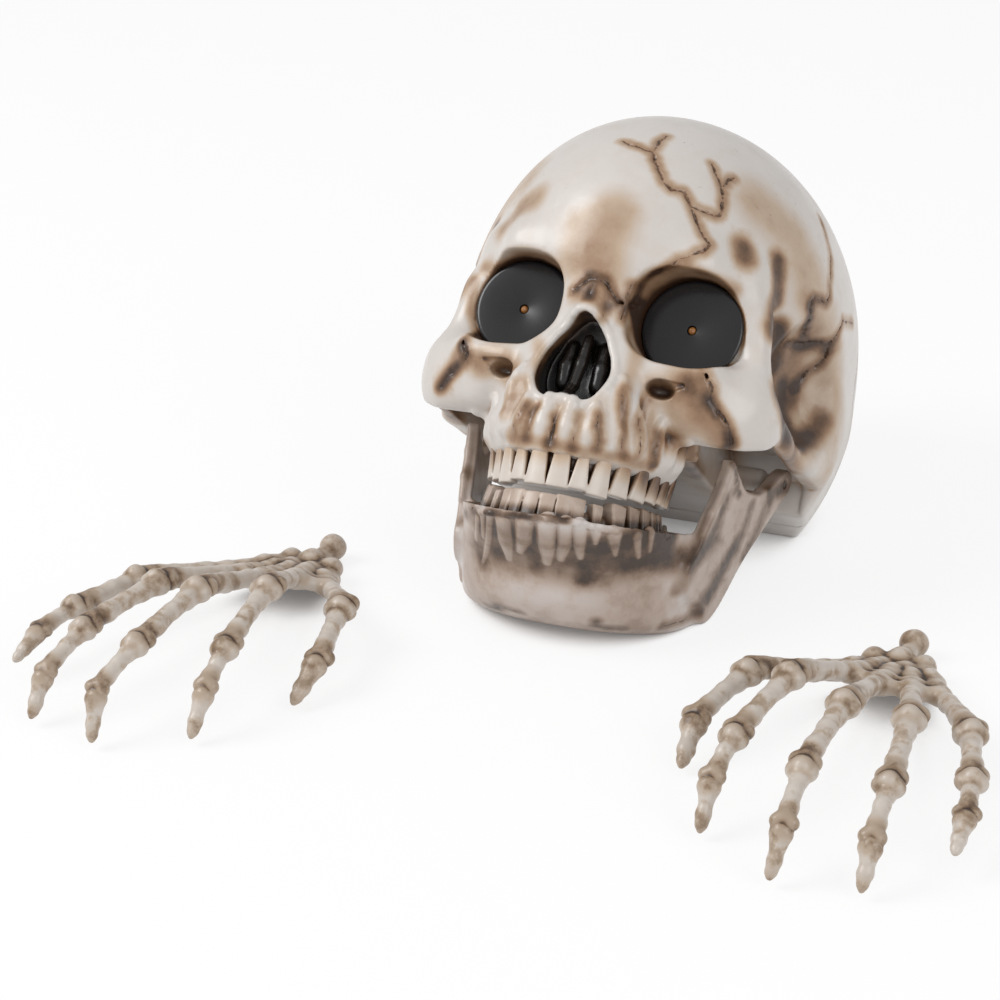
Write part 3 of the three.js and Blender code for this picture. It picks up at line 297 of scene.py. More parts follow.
# %% From clay to mesh
def sample(values, low, step, points):
    """The values of a block at points between its voxels."""
    place = (points - low) / step
    limits = np.array(values.shape) - 2
    corner = np.clip(np.floor(place).astype(int), 0, limits)
    part = np.clip(place - corner, 0, 1)
    total = np.zeros(len(points), np.float32)
    for i in (0, 1):
        for j in (0, 1):
            for k in (0, 1):
                share = np.abs(1 - i - part[:, 0]) * np.abs(1 - j - part[:, 1]) * np.abs(1 - k - part[:, 2])
                total += share * values[corner[:, 0] + i, corner[:, 1] + j, corner[:, 2] + k]
    return total


def box_mean(values, reach):
    """Each voxel's mean over its neighbours within a reach in voxels, along all three axes."""
    for axis in range(3):
        count = values.shape[axis]
        sums = np.cumsum(values, axis=axis, dtype=np.float32)
        zero = np.zeros_like(np.take(sums, [0], axis=axis))
        sums = np.concatenate([zero, sums], axis=axis)
        ahead = np.minimum(np.arange(count) + reach + 1, count)
        behind = np.maximum(np.arange(count) - reach, 0)
        shape = [1, 1, 1]
        shape[axis] = count
        width = (ahead - behind).reshape(shape)
        values = (np.take(sums, ahead, axis=axis) - np.take(sums, behind, axis=axis)) / width
    return values


def hollowness(clay, points, reach):
    """How deep the surface lies at points: 0 on a flat, more in a groove, less on a ridge."""
    stride = max(1, int(reach / clay.step / 3))
    solid = np.clip(0.5 - clay.distance[::stride, ::stride, ::stride] / (2 * clay.step * stride), 0, 1)
    mean = box_mean(box_mean(solid, max(1, round(reach / clay.step / stride / 1.4))), 1)
    return sample(mean, clay.low, clay.step * stride, points) * 2 - 1


def without_crumbs(points, triangles, quads, fewest=200):
    """Drops the loose bubbles that a voxel or two can leave, which have fewer points than a tooth."""
    pairs = [corners[:, [k, k + 1]] for corners in (triangles, quads) for k in range(corners.shape[1] - 1)]
    pairs = np.concatenate(pairs).astype(int)
    label = np.arange(len(points))
    before = None
    while before is None or (before != label).any():
        before = label.copy()
        lowest = np.minimum(label[pairs[:, 0]], label[pairs[:, 1]])
        np.minimum.at(label, pairs[:, 0], lowest)
        np.minimum.at(label, pairs[:, 1], lowest)
        label = label[label]
    kept = np.bincount(label, minlength=len(points))[label] >= fewest
    number = np.cumsum(kept) - 1
    print("Crumbs dropped:", len(np.unique(label[~kept])))
    return points[kept], number[triangles[kept[triangles[:, 0]]]], number[quads[kept[quads[:, 0]]]]


def clay_mesh(clay, fineness=0.0):
    """The zero level of a block as points in mm and faces with four or three corners."""
    grid = openvdb.FloatGrid(3.0)
    band = np.clip(clay.distance / clay.step, -3, 3)
    for axis in range(3):
        band = np.moveaxis(band, axis, 0)
        band[0] = band[-1] = 3
        band = np.moveaxis(band, 0, axis)
    grid.copyFromArray(np.ascontiguousarray(band))
    points, triangles, quads = grid.convertToPolygons(isovalue=0.0, adaptivity=fineness)
    points, triangles, quads = without_crumbs(points, triangles, quads)
    return clay.low + points * clay.step, triangles, quads


def make_piece(name, points, triangles, quads, paint, material, body, node):
    """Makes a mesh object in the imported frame, with its paint, and ties it to the model."""
    mesh = bpy.data.meshes.new(name)
    mesh.from_pydata(points.tolist(), [], [*triangles.tolist(), *quads.tolist()])
    mesh.shade_smooth()
    for layer, values in paint.items():
        attribute = mesh.attributes.new(layer, "FLOAT", "POINT")
        attribute.data.foreach_set("value", np.full(len(points), values, np.float32))
    mesh.materials.append(material)
    piece = bpy.data.objects.new(name, mesh)
    bpy.context.scene.collection.objects.link(piece)
    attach(piece, body)
    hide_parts(node)
    print(name, "has", len(mesh.polygons), "faces")


def fade(values, low, high):
    """0 below a low value, 1 above a high one, and a smooth run between."""
    part = np.clip((values - low) / (high - low), 0, 1)
    return part * part * (3 - 2 * part)


# %% Landing lines and spots on the clay
def land(clay, starts, directions, reach):
    """Where lines from outside first meet the clay, in mm. A line that misses keeps its end."""
    starts = np.asarray(starts, float)
    directions = np.asarray(directions, float)
    travelled = np.zeros(len(starts))
    landed = np.zeros(len(starts), bool)
    while not landed.all() and travelled.max() < reach:
        depth = sample(clay.distance, clay.low, clay.step, starts + directions * travelled[:, None])
        landed |= depth < 0
        travelled[~landed] += np.maximum(depth[~landed] * 0.6, clay.step / 2)
    return starts + directions * travelled[:, None]


def land_pixels(clay, pixels, start=600, reach=600):
    """Lays pixels of the picture on the clay along their lines of sight."""
    sights = np.array([line_of_sight(pixel).normalized() for pixel in pixels])
    eye = np.array(camera.location)
    near = frame_to_head(eye + sights * start * mm)
    further = frame_to_head(eye + sights * (start + 1) * mm)
    return land(clay, near, further - near, reach)


def line_distance(points, knots):
    """The distance from points to a chain of knots of x, y, z and radius."""
    nearest = np.full(len(points), far, np.float32)
    for start, end in zip(knots[:-1], knots[1:]):
        low = np.minimum(start, end)[:3] - far
        high = np.maximum(start, end)[:3] + far
        close = np.flatnonzero(((points > low) & (points < high)).all(axis=1))
        line = end[:3] - start[:3]
        offset = points[close] - start[:3]
        part = np.clip(offset @ line / max(float(line @ line), tiny), 0, 1)
        apart = np.linalg.norm(offset - part[:, None] * line, axis=1)
        radius = start[3] + (end[3] - start[3]) * part
        nearest[close] = np.minimum(nearest[close], apart - radius)
    return nearest


def nearest_line(points, lines):
    """The distance from points to the nearest of some chains of knots."""
    return np.minimum.reduce([line_distance(points, knots) for knots in lines])


def roughened(points, dice, spacing=2.2, shake=0.4):
    """More points along a line of points, each shaken a little."""
    longer = [points[0]]
    for start, end in zip(points, points[1:]):
        count = max(1, round(np.linalg.norm(end - start) / spacing))
        for step in range(1, count + 1):
            longer.append(start + (end - start) * step / count)
    longer = np.array(longer)
    longer[1:-1] += dice.uniform(-shake, shake, (len(longer) - 2, 3))
    return longer


def sprayed(points, clay, spots):
    """How much brown the spots leave at points, as sprayed paint or as painted shade. A spot: pixels, reach
    in mm and strength.
    """
    total = np.zeros(len(points), np.float32)
    for pixels, reach, strength, *both_sides in spots:
        knots = np.column_stack([land_pixels(clay, pixels), np.zeros(len(pixels))])
        if len(knots) == 1:
            knots = np.repeat(knots, 2, axis=0)
        for side in (1, -1) if both_sides else (1,):
            apart = line_distance(points, knots * (side, 1, 1, 1))
            share = strength * (1 - fade(apart, reach * 0.1, reach))
            total = 1 - (1 - total) * (1 - share)
    return total


# %% [markdown]
# ## The cranium's main form
# A skull is an egg for the brain with a scaffold of bars in front: brow, rims of the eye sockets,
# cheekbones, nose and the arch that holds the teeth. So two eggs melt together first, then round bars
# follow each bony ridge. All of it is symmetric, so half of it is sculpted and mirrored.

# %% Cranium: brain case and bars of bone
block_low = (0, -98, -92)
block_high = (86, 112, 116)
brain_case = ((0, 9, 47), (62, 92, 61.5))
back_case = ((0, 24.3 + head_back, 60.5), (80, 92, 95))  # stands level, not tilted
case_softness = 20
bone_softness = 9
brow_bars = [
    [(8, -70, 34, 7), (33, -64.5, 37, 7.5), (46, -51.5, 38.5, 6)],
    [(46, -51.5, 38.5, 6), (55, -50.5, 20, 4.5), (58, -51.5, 2, 6.5)],
]
cheek_bars = [
    [(14, -71, -3, 5), (30, -70, -8, 6), (44, -67, -7, 6.5)],
    [(44, -67, -7, 6.5), (56, -54, -10, 9), (58.5, -46, -16, 9)],
    [(40, -63, -20, 8), (52, -56, -19, 8.5), (58.5, -46, -16, 9)],
    [(58.5, -46, -16, 9), (63, -30, -15, 7.5), (66.5, -5, -15, 8)],
    [(66.5, -5, -15, 8), (66, 15, -12, 10)],
]
nose_bars = [
    [(0, -71.5, 24, 5.5), (0, -80, 10, 6.5)],
    [(6, -72, 15, 5), (13, -74, -5, 6), (15, -78, -20, 7)],
    [(0, -86, -24, 6), (14, -80, -24, 8)],
]
face_lumps = [
    ((0, -68, 31), (17, 12, 12)),
    ((0, -62, -22), (33, 25, 20)),
    ((51, -55, -14), (13, 11, 13)),
]
upper_arch = {"half_width": 27.5, "back": -46, "reach": 39.5, "height": -36, "radius": 6}


def arch_knots(arch, steps=10):
    knots = []
    for angle in np.linspace(0, math.pi / 2, steps + 1):
        x = arch["half_width"] * math.sin(angle)
        y = arch["back"] - arch["reach"] * math.cos(angle)
        knots.append((x, y, arch["height"], arch["radius"]))
    return knots


cranium = Clay(block_low, block_high, grain)
block_x, block_y, block_z = cranium.places()
block_back, block_up = standing(block_y, block_z)
cranium.distance = egg(*brain_case)[2](block_x, block_y, block_z)
cranium.distance = melt(cranium.distance, egg(*back_case)[2](block_x, block_back, block_up), case_softness)
cranium.press([egg(*lump) for lump in face_lumps], bone_softness)
for bars in [*brow_bars, *cheek_bars, *nose_bars, arch_knots(upper_arch)]:
    cranium.press(limbs(bars), bone_softness)
print("Cranium block:", cranium.distance.shape)

# %% Cranium: the large hollows
base_line = [(-47, -31.2), (30, -34.2), (51, -37.2)]
skin_inset = 0.35  # keeps the sculpted skin within the box of the model
cheek_pit = [(-42, -17), (-30, -13), (14, -13), (23, -20)]
cheek_pit_sides = (37.5, 65.5)
jaw_room = [(-40, -23.5), (22, -22.5)]
block_floor = -140  # lower than any clay
temple_pit = egg((80, -20, 10), (25, 27, 25))
palate = egg((0, -55, -42), (18, 27, 10))
temple_groove = [(60, -40, 24, 5), (60, -38, 10, 7), (61, -34, -2, 6)]
cheek_edge = [(-75, -31.5), (-66, -30), (-56, -27.5), (-50, -25), (-44, -21), (-30, -22.5), (0, -24),
              (20, -26)]
cheek_heights = [-30, -18, -10, -5, 5, 20]
cheek_half_widths = [70, 71, 71, 69.6, 65.2, 62]
eye_place = (32.7, -58.4, 14.3)
eye_radius = 19
disc_thickness = 1.6
fit_gap = 0.3
wall = 2.4  # mm, the thickness of the shells
outer_side = 100  # mm, further out than any bone


def room_below(line, x_low, x_high):
    """All that lies under a line of y and z points, between two sides."""
    return side_slab([*line, (line[-1][0], block_floor), (line[0][0], block_floor)], x_low, x_high)


def eye_socket(grown=0.0):
    """A funnel from the socket's rim, a rounded square, back to the round seat of the disc."""
    rim_at, rim_size, seat_depth = np.array((33.6, 14.6)), np.array((20.6, 18.6)), 12.0

    def formula(x, y, z):
        outwards = np.clip((eye_place[1] - y) / seat_depth, 0, 1.35)
        flare = outwards ** 0.8
        middle_x = eye_place[0] + (rim_at[0] - eye_place[0]) * flare
        middle_z = eye_place[2] + (rim_at[1] - eye_place[2]) * flare
        wide = eye_radius + fit_gap + (rim_size[0] - eye_radius) * flare
        tall = eye_radius + fit_gap + (rim_size[1] - eye_radius - fit_gap) * flare
        power = 2 + 0.5 * flare
        a = np.abs((x - middle_x) / wide) ** power + np.abs((z - middle_z) / tall) ** power
        ring = (a ** (1 / power) - 1) * np.minimum(wide, tall)
        return (np.maximum(ring, y - eye_place[1] - disc_thickness - fit_gap) - grown).astype(np.float32)

    low = np.array((eye_place[0] - 26, -110, eye_place[2] - 26))
    return low, np.array((eye_place[0] + 28, eye_place[1] + 6, eye_place[2] + 26)), formula


nose_half_widths = [19.5, 14.0, 12.2, 13.2, 15.6, 18.0, 14.6]  # from straight up round to straight down
nose_middle = -8.6
nose_back = -71


def nose_outline():
    steps = len(nose_half_widths) - 1
    angles = np.linspace(0, 2 * math.pi, 49)[:-1]
    knots = np.array(nose_half_widths + nose_half_widths[-2:0:-1])
    turns = np.arange(2 * steps + 1) * math.pi / steps
    radii = np.interp(angles, turns, np.append(knots, knots[0]))
    radii = (radii + np.roll(radii, 1) + np.roll(radii, -1)) / 3
    return [(r * math.sin(a), nose_middle + r * math.cos(a)) for r, a in zip(radii, angles)]


def nose_hole(grown=0.0):
    points = nose_outline()

    def formula(x, y, z):
        return (np.maximum(outline_distance(points, x, z), y - nose_back) - grown).astype(np.float32)

    return np.array((-20, -112, -30)), np.array((20, nose_back + 4, 14)), formula


cranium.scoop([temple_pit], 8)
cranium.scoop([room_below(base_line, -outer_side, outer_side)], 2)
cranium.scoop([room_below(cheek_pit, *cheek_pit_sides)], 3)
cranium.scoop([room_below(jaw_room, 60, outer_side)], 3)
cranium.scoop([palate], 3)
cranium.scoop(limbs(temple_groove), 6)
cranium.scoop([room_below(cheek_edge, 41, outer_side)], 1.5)
cheek_side = np.interp(block_z, cheek_heights, cheek_half_widths)
cheek_side = cheek_side + 15 * np.clip((block_y + 40) / 20, 0, 1)
cranium.distance = -melt(-cranium.distance, -(block_x - cheek_side) * 0.9, 4).astype(np.float32)
cranium.distance = cranium.distance + skin_inset
plain_bone = cranium.recut(cranium.distance.copy())
cranium.scoop([eye_socket()], 1.2)
cranium.scoop([nose_hole()], 1.0)

# %% Cranium: nose rim, partition and shells inside the nose
nose_rim_radius = 0.9
before_face = -112  # mm, further forward than any bone
rim = np.array([(x, before_face, z) for x, z in nose_outline() if x >= -0.1])
rim[:, 0] *= 1.1
rim[:, 2] = nose_middle + (rim[:, 2] - nose_middle) * 1.07
landed_rim = land(plain_bone, rim, np.tile((0, 1, 0), (len(rim), 1)), 60)
rim_knots = [(x, y + nose_rim_radius * 0.45, z, nose_rim_radius) for x, y, z in landed_rim]
cranium.press(limbs(rim_knots), 1.6)
partition = [(0, -74, 2, 2.0), (0, -77, -8, 2.3), (0, -81, -17, 2.0), (0, -86, -22, 2.2)]
nose_shell = [(6.2, -71, -1, 2.4), (6.8, -72.5, -9, 3.6), (6.4, -73, -15, 3.4)]
cranium.press(limbs(partition), 1.2)
cranium.press(limbs(nose_shell), 1.2)
cranium.press([ball((0, -89, -24.5), 2.6)], 3)

# %% [markdown]
# ## Roots of the teeth
# Over every tooth its root shows as a ridge in the bone, with a groove on each side. The roots of the
# canine teeth reach highest. The ridges are bars that lie half sunk in the bone above the teeth's arch.

# %% Cranium: roots of the upper teeth
front_depth = 7
molar_depth = 9
upper_teeth = {"half_width": 30.5, "back": -46, "reach": 42.5, "height": -39, "rise": 1}
lower_teeth = {"half_width": 29, "back": -46, "reach": 45, "height": -69, "rise": 9}
upper_widths = [7.7, 6.6, 8.2, 8.3, 8.2, 7.6, 7.2, 6.6]  # mm along the arch, from the middle back
upper_lengths = [17.5, 16.5, 17.5, 16, 15, 14, 13, 12.5]
lower_widths = [5.6, 5.0, 5.0, 9.6, 7.8, 8.0, 7.2, 6.4, 5.5]
lower_crowns = [6.2, 5.6, 5.6, 4.4, 7.4, 6.9, 6.2, 5.6, 5.2]
lower_lengths = [9.7, 9.7, 9.4, 8.0, 9.0, 8.6, 8.2, 7.6, 7.2]


def arch_place(arch, angle, out=0.0):
    """A point of the arch and its outward direction. Past a quarter turn the arch runs straight back."""
    turn = min(angle, math.pi / 2)
    out_x = math.sin(turn) / arch["half_width"]
    out_y = -math.cos(turn) / arch["reach"]
    size = math.hypot(out_x, out_y)
    out_x, out_y = out_x / size, out_y / size
    x = arch["half_width"] * math.sin(turn) + out_x * out
    y = arch["back"] - arch["reach"] * (math.cos(turn) - max(angle - turn, 0)) + out_y * out
    z = arch["height"] + arch["rise"] * (1 - math.cos(turn))
    return np.array((x, y, z)), np.array((out_x, out_y, 0))


def arch_turns(arch, widths):
    """The start, middle and end angle of each tooth, from its width along the arch."""
    angles = np.linspace(0, math.pi / 2 + 0.6, 800)
    places = np.array([arch_place(arch, angle)[0] for angle in angles])
    run = np.concatenate([[0], np.cumsum(np.linalg.norm(np.diff(places[:, :2], axis=0), axis=1))])
    ends = np.cumsum([0, *widths])
    return [np.interp([a, (a + b) / 2, b], run, angles) for a, b in zip(ends, ends[1:])]


def root_ridges(clay, arch, widths, heights, proud):
    """Ridges over the roots of a half arch."""
    ridges = []
    for turns, width, height in zip(arch_turns(arch, widths), widths, heights):
        levels = np.linspace(0, 1, 7)
        base, outwards = arch_place(arch, turns[1], 14)
        starts = np.array([base + (0, 0, height * level) for level in levels])
        landed = land(clay, starts, np.tile(-outwards, (len(levels), 1)), 40)
        thick = width * 0.44 * (1 - 0.6 * levels ** 2)
        ridges.append([(*(point - outwards * (t - proud)), t) for point, t in zip(landed, thick)])
    return ridges


upper_root_heights = [13, 12, 24, 17, 13, 11, 8, 6]
bone_arch = dict(upper_teeth, half_width=29, height=-37)
for knots in root_ridges(cranium, bone_arch, upper_widths, upper_root_heights, 1.5):
    cranium.press(limbs(knots), 1.6)
gum_line = dict(upper_teeth, half_width=33.2, reach=45.3, height=-43.2, rise=6)
gum_dice = np.random.default_rng(3)
gum_knots = []
for angle in np.linspace(0, math.pi / 2, 34):
    place = arch_place(gum_line, angle)[0] + gum_dice.uniform(-0.3, 0.3, 3) * (angle > 0, 1, 1)
    gum_knots.append((*place, 1.3))
    gum_knots.append((*(place + (0, 0.5, 3)), 1.6))
cranium.press(limbs(gum_knots[::2]), 0.9)
cranium.press(limbs(gum_knots[1::2]), 2.5)

# %% Cranium: holes under the eyes
cheek_hole = (30.5, -13)
cheek_hole_size = np.array((5.0, 7, 3.4))
led_bore_radius = 4.3
hole_mouth = land(cranium, [(cheek_hole[0], before_face, cheek_hole[1])], [(0, 1, 0)], 80)[0]
cranium.scoop([egg(hole_mouth + (0, 1, 0), cheek_hole_size)], 1.2)
cranium.scoop([limb((*(hole_mouth + (2, 1, 1)), 2.2), (*(hole_mouth + (7.5, 2, 2.6)), 0.8))], 1.2)
cranium.scoop(limbs([(*(hole_mouth + (-4, -1, -5)), 1.0), (*(hole_mouth + (-5, 1, -16)), 0.6)]), 4)
led_bore = limb(*[(eye_place[0], y, eye_place[2], led_bore_radius) for y in (-75, -40)])
thickened = [eye_socket(wall), nose_hole(wall), egg(hole_mouth + (0, 1, 0), cheek_hole_size + wall)]
kept_walls = np.minimum.reduce([formula(block_x, block_y, block_z) for low, high, formula in thickened])
inner_room = np.maximum(plain_bone.distance + wall, -kept_walls)
hollow = cranium.recut(inner_room.astype(np.float32))
hollow.press([led_bore])
cranium.mirror()
hollow.mirror()

# %% [markdown]
# ## Cracks
# The mould has cracks scratched into it: zigzags on the forehead, the seams between the skull's bones
# on its sides and a broken bridge of the nose. Each crack is a list of pixels of the picture, laid on
# the clay, roughened a little and scooped out as a thin channel. The same lines later guide the paint.

# %% Cracks drawn in the picture
crack_lines = {
    "forehead": [(622, 141), (638, 147), (653, 152), (655, 161), (659, 170), (664, 183), (672, 189),
                 (684, 192), (691, 207), (696, 219), (701, 231), (706, 240), (711, 245), (704, 251),
                 (694, 254)],
    "forehead_top": [(653, 152), (658, 143), (667, 136)],
    "forehead_branch": [(691, 207), (700, 210), (708, 213), (715, 216), (722, 212), (723, 200),
                        (722, 187), (717, 177), (712, 164)],
    "forehead_twig": [(723, 187), (728, 180), (734, 178)],
    "brow_line": [(694, 254), (680, 260), (668, 266), (655, 272)],
    "side_seam": [(820, 218), (826, 236), (831, 258), (830, 283), (830, 298), (826, 302), (815, 297),
                  (810, 306), (806, 325), (803, 337)],
    "side_fork": [(786, 343), (803, 345), (815, 342), (828, 345), (838, 333), (843, 321), (848, 322),
                  (853, 324)],
    "side_twig": [(828, 345), (824, 358), (816, 366), (807, 372), (800, 380), (793, 388)],
    "cheek": [(703, 370), (708, 380), (712, 388), (709, 400), (718, 412), (729, 426), (732, 440),
              (729, 448)],
    "far_cheek": [(478, 335), (463, 344), (467, 354), (463, 363), (448, 377), (438, 390)],
    "bridge": [(572, 290), (581, 284), (590, 278), (598, 279), (604, 281), (610, 289), (618, 302),
               (630, 306), (640, 307)],
    "bridge_left": [(594, 284), (588, 297)],
    "bridge_middle": [(608, 306), (603, 317)],
    "bridge_right": [(626, 308), (621, 319)],
    "bridge_up": [(627, 297), (631, 285)],
    "root_1": [(525, 404), (520, 414), (513, 427), (510, 437)],
    "root_2": [(538, 407), (532, 414), (530, 424), (527, 437)],
    "root_3": [(554, 418), (553, 427), (550, 439), (548, 446)],
    "root_4": [(579, 416), (577, 427), (573, 441), (573, 447)],
    "root_5": [(598, 415), (597, 425), (600, 437), (597, 447)],
    "root_6": [(623, 388), (622, 408), (623, 427), (622, 447), (625, 454)],
    "root_7": [(640, 406), (639, 424), (640, 443), (639, 454)],
    "root_8": [(660, 435), (656, 452), (654, 466)],
}
usual_crack_width = 0.6  # mm, half of it to each side
crack_widths = {"side_seam": 0.35, "side_fork": 0.4, "side_twig": 0.4, "brow_line": 0.25, "cheek": 0.65,
                "bridge_left": 0.4, "bridge_middle": 0.4, "bridge_right": 0.6, "bridge_up": 0.5,
                "root_1": 0.2, "root_2": 0.25, "root_3": 0.35, "root_4": 0.15, "root_5": 0.25, "root_6": 0.2,
                "root_7": 0.2, "root_8": 0.2}
crack_dice = np.random.default_rng(31)
cracks = []
for name, pixels in crack_lines.items():
    points = roughened(land_pixels(cranium, pixels), crack_dice)
    radius = crack_widths.get(name, usual_crack_width) * crack_dice.uniform(0.7, 1.3, len(points))
    radius[0] *= 0.5
    radius[-1] *= 0.5
    cracks.append(np.column_stack([points, radius]))
    if name.startswith("side"):
        cracks.append(cracks[-1] * (-1, 1, 1, 1))
for knots in cracks:
    cranium.scoop(limbs(knots), 0.6)
print("Cracks:", len(cracks), "with", sum(len(knots) for knots in cracks), "knots")

# %% Cranium: bosses for the screws and hinge pins, the flat base and the parting
parting = 38
joint_gap = 0.3
boss_radius = 4
boss_height = 14
hinge_y, hinge_z = -4 + head_back, 34
hinge_boss_radius = 4.5
hinge_boss_ends = (32, 51.1)
pin_radius = 1.5
hinge_gap = 0.2
boss_foot = 4.3  # mm over the floor, on the base plate
screw_bore_radius = 1.7
rib_reach = 34  # each boss of a base screw is tied to the wall by a rib
rib_height = 9
rib_radius = 1.6
screw_places = ("left_1", "left_2", "right_1", "right_2")
base_screws = [np.array(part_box("base_screw_" + place)) / mm for place in screw_places]


def at_level(x, y, z):
    """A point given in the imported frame, in mm, in the head's own axes."""
    return frame_to_head([(x * mm, y * mm, z * mm)])[0]


def level_bar(start, end, radius):
    return limb((*at_level(*start), radius), (*at_level(*end), radius))


cranium_y, cranium_z = cranium.places()[1:]
height_over_floor = standing(cranium_y, cranium_z)[1]
shell = cranium.recut(np.maximum(cranium.distance, -hollow.distance))
bores = []
for low, high in base_screws:
    x, y = (low + high)[:2] / 2
    shell.press([level_bar((x, y, rib_height), (x + math.copysign(rib_reach, x), y, rib_height), rib_radius)])
shell.distance = np.maximum(shell.distance, cranium.distance)
for side in (1, -1):
    hinge = [(side * x, hinge_y, hinge_z) for x in hinge_boss_ends]
    shell.press([level_bar(*hinge, hinge_boss_radius)])
    bores.append(level_bar((0, hinge_y, hinge_z), (side * 80, hinge_y, hinge_z), pin_radius + hinge_gap))
for low, high in base_screws:
    x, y = (low + high)[:2] / 2
    shell.press([level_bar((x, y, boss_foot + boss_radius), (x, y, boss_height - boss_radius), boss_radius)])
    bores.append(level_bar((x, y, 0), (x, y, high[2]), screw_bore_radius))
shell.scoop(bores)
for clay in (shell, cranium):
    clay.distance = np.maximum(clay.distance, joint_gap / 2 - height_over_floor).astype(np.float32)
front = shell.recut(np.maximum(shell.distance, cranium_y - (parting - joint_gap / 2)))
rear = shell.recut(np.maximum(shell.distance, (parting + joint_gap / 2) - cranium_y))
print("Skull is sculpted")

# %% [markdown]
# ## Where the brown goes
# The painter sprays brown in soft patches first: over the bridge of the nose, in the temples and under
# the cheeks. The patches in the temples and under the arches are partly painted shade, and the broad
# veil down the sides of the dome is painted shade. Each patch is a pixel of the picture, or a few in a
# row, with its reach in mm and its strength, and some are sprayed on both sides. The wash then runs into
# what lies deep, with painted shade added in broad hollows and deep in the eye sockets, and a brush
# darkens the pits and the nose.

# %% Paint of the cranium
hollow_reaches = (1.6, 4.5, 10)  # mm: scratches, dents between ridges, and broad hollows
temple_middle = (64, 24, 4)
temple_stretch = (1, 0.85, 1)
temple_wash_and_shade = 0.62
skull_sprays_and_shade = [
    ([(612, 216), (602, 246), (600, 276)], 15, 0.42),
    ([(580, 226), (572, 262)], 11, 0.28),
    ([(507, 226), (522, 208), (536, 198)], 10, 0.42),
    ([(743, 248), (744, 256)], 9, 0.85),
    # painted shade: a broad brown veil down the sides of the dome, and lower down
    ([(760, 205), (795, 240), (812, 300), (820, 380)], 19, 0.3, "both sides"),
    ([(835, 420), (820, 480)], 18, 0.2, "both sides"),
    # brown wash and painted shade in the temple recesses and in the pockets under the arches
    ([(778, 262), (776, 300), (772, 329)], 8, 0.85, "both sides"),
    ([(776, 330), (775, 362), (776, 396), (786, 432)], 9, 0.95, "both sides"),
    ([(790, 350), (788, 400)], 13, 0.35, "both sides"),
    ([(795, 442), (810, 436), (822, 420)], 8, 0.85, "both sides"),
    ([(690, 385), (703, 405), (712, 425), (724, 444)], 8, 0.55),
    ([(650, 388), (668, 384), (688, 384)], 9, 0.5),
    ([(646, 402), (650, 428), (652, 452)], 6, 0.35),
    ([(676, 404), (690, 424)], 9, 0.4),
    ([(463, 346), (455, 364), (443, 384)], 6, 0.55),
    ([(480, 362), (500, 360), (512, 372)], 9, 0.5),
    ([(520, 385), (508, 408)], 7, 0.45),
    ([(600, 402), (598, 440)], 6, 0.16),
    ([(624, 396), (626, 440)], 5, 0.22),
    ([(562, 410), (552, 440)], 6, 0.2),
    ([(532, 410), (520, 438)], 6, 0.3),
    # brown wash and painted shade at the bottom of the temple recess
    ([(782, 386), (784, 420), (796, 444)], 6.5, 0.75, "both sides"),
    ([(628, 330), (636, 360), (630, 385)], 5, 0.3),
    ([(548, 322), (539, 350), (536, 378)], 5, 0.3),
    ([(575, 294), (600, 302), (625, 306), (640, 309)], 6, 0.4),
    ([(640, 284), (634, 312), (640, 346)], 6, 0.5),
    ([(650, 275), (690, 268), (735, 290)], 5, 0.4),
    ([(474, 280), (471, 310), (480, 336)], 4, 0.5),
    ([(486, 268), (520, 262), (556, 280)], 5, 0.45),
    ([(672, 440), (690, 452), (693, 476)], 8, 0.6),
    ([(689, 470)], 6, 0.7),
    ([(486, 441), (526, 440), (553, 443), (584, 452), (618, 457), (652, 467)], 4, 0.4),
    ([(700, 482), (745, 500)], 16, 0.2, "both sides"),
    ([(806, 300), (812, 332)], 7, 0.3, "both sides"),
    ([(800, 346), (836, 346)], 6, 0.35, "both sides"),
    ([(795, 392), (789, 402)], 5, 0.4, "both sides"),
    # brown wash and painted shade in the pocket under the arch
    ([(783, 440), (792, 472)], 6, 0.5, "both sides"),
]


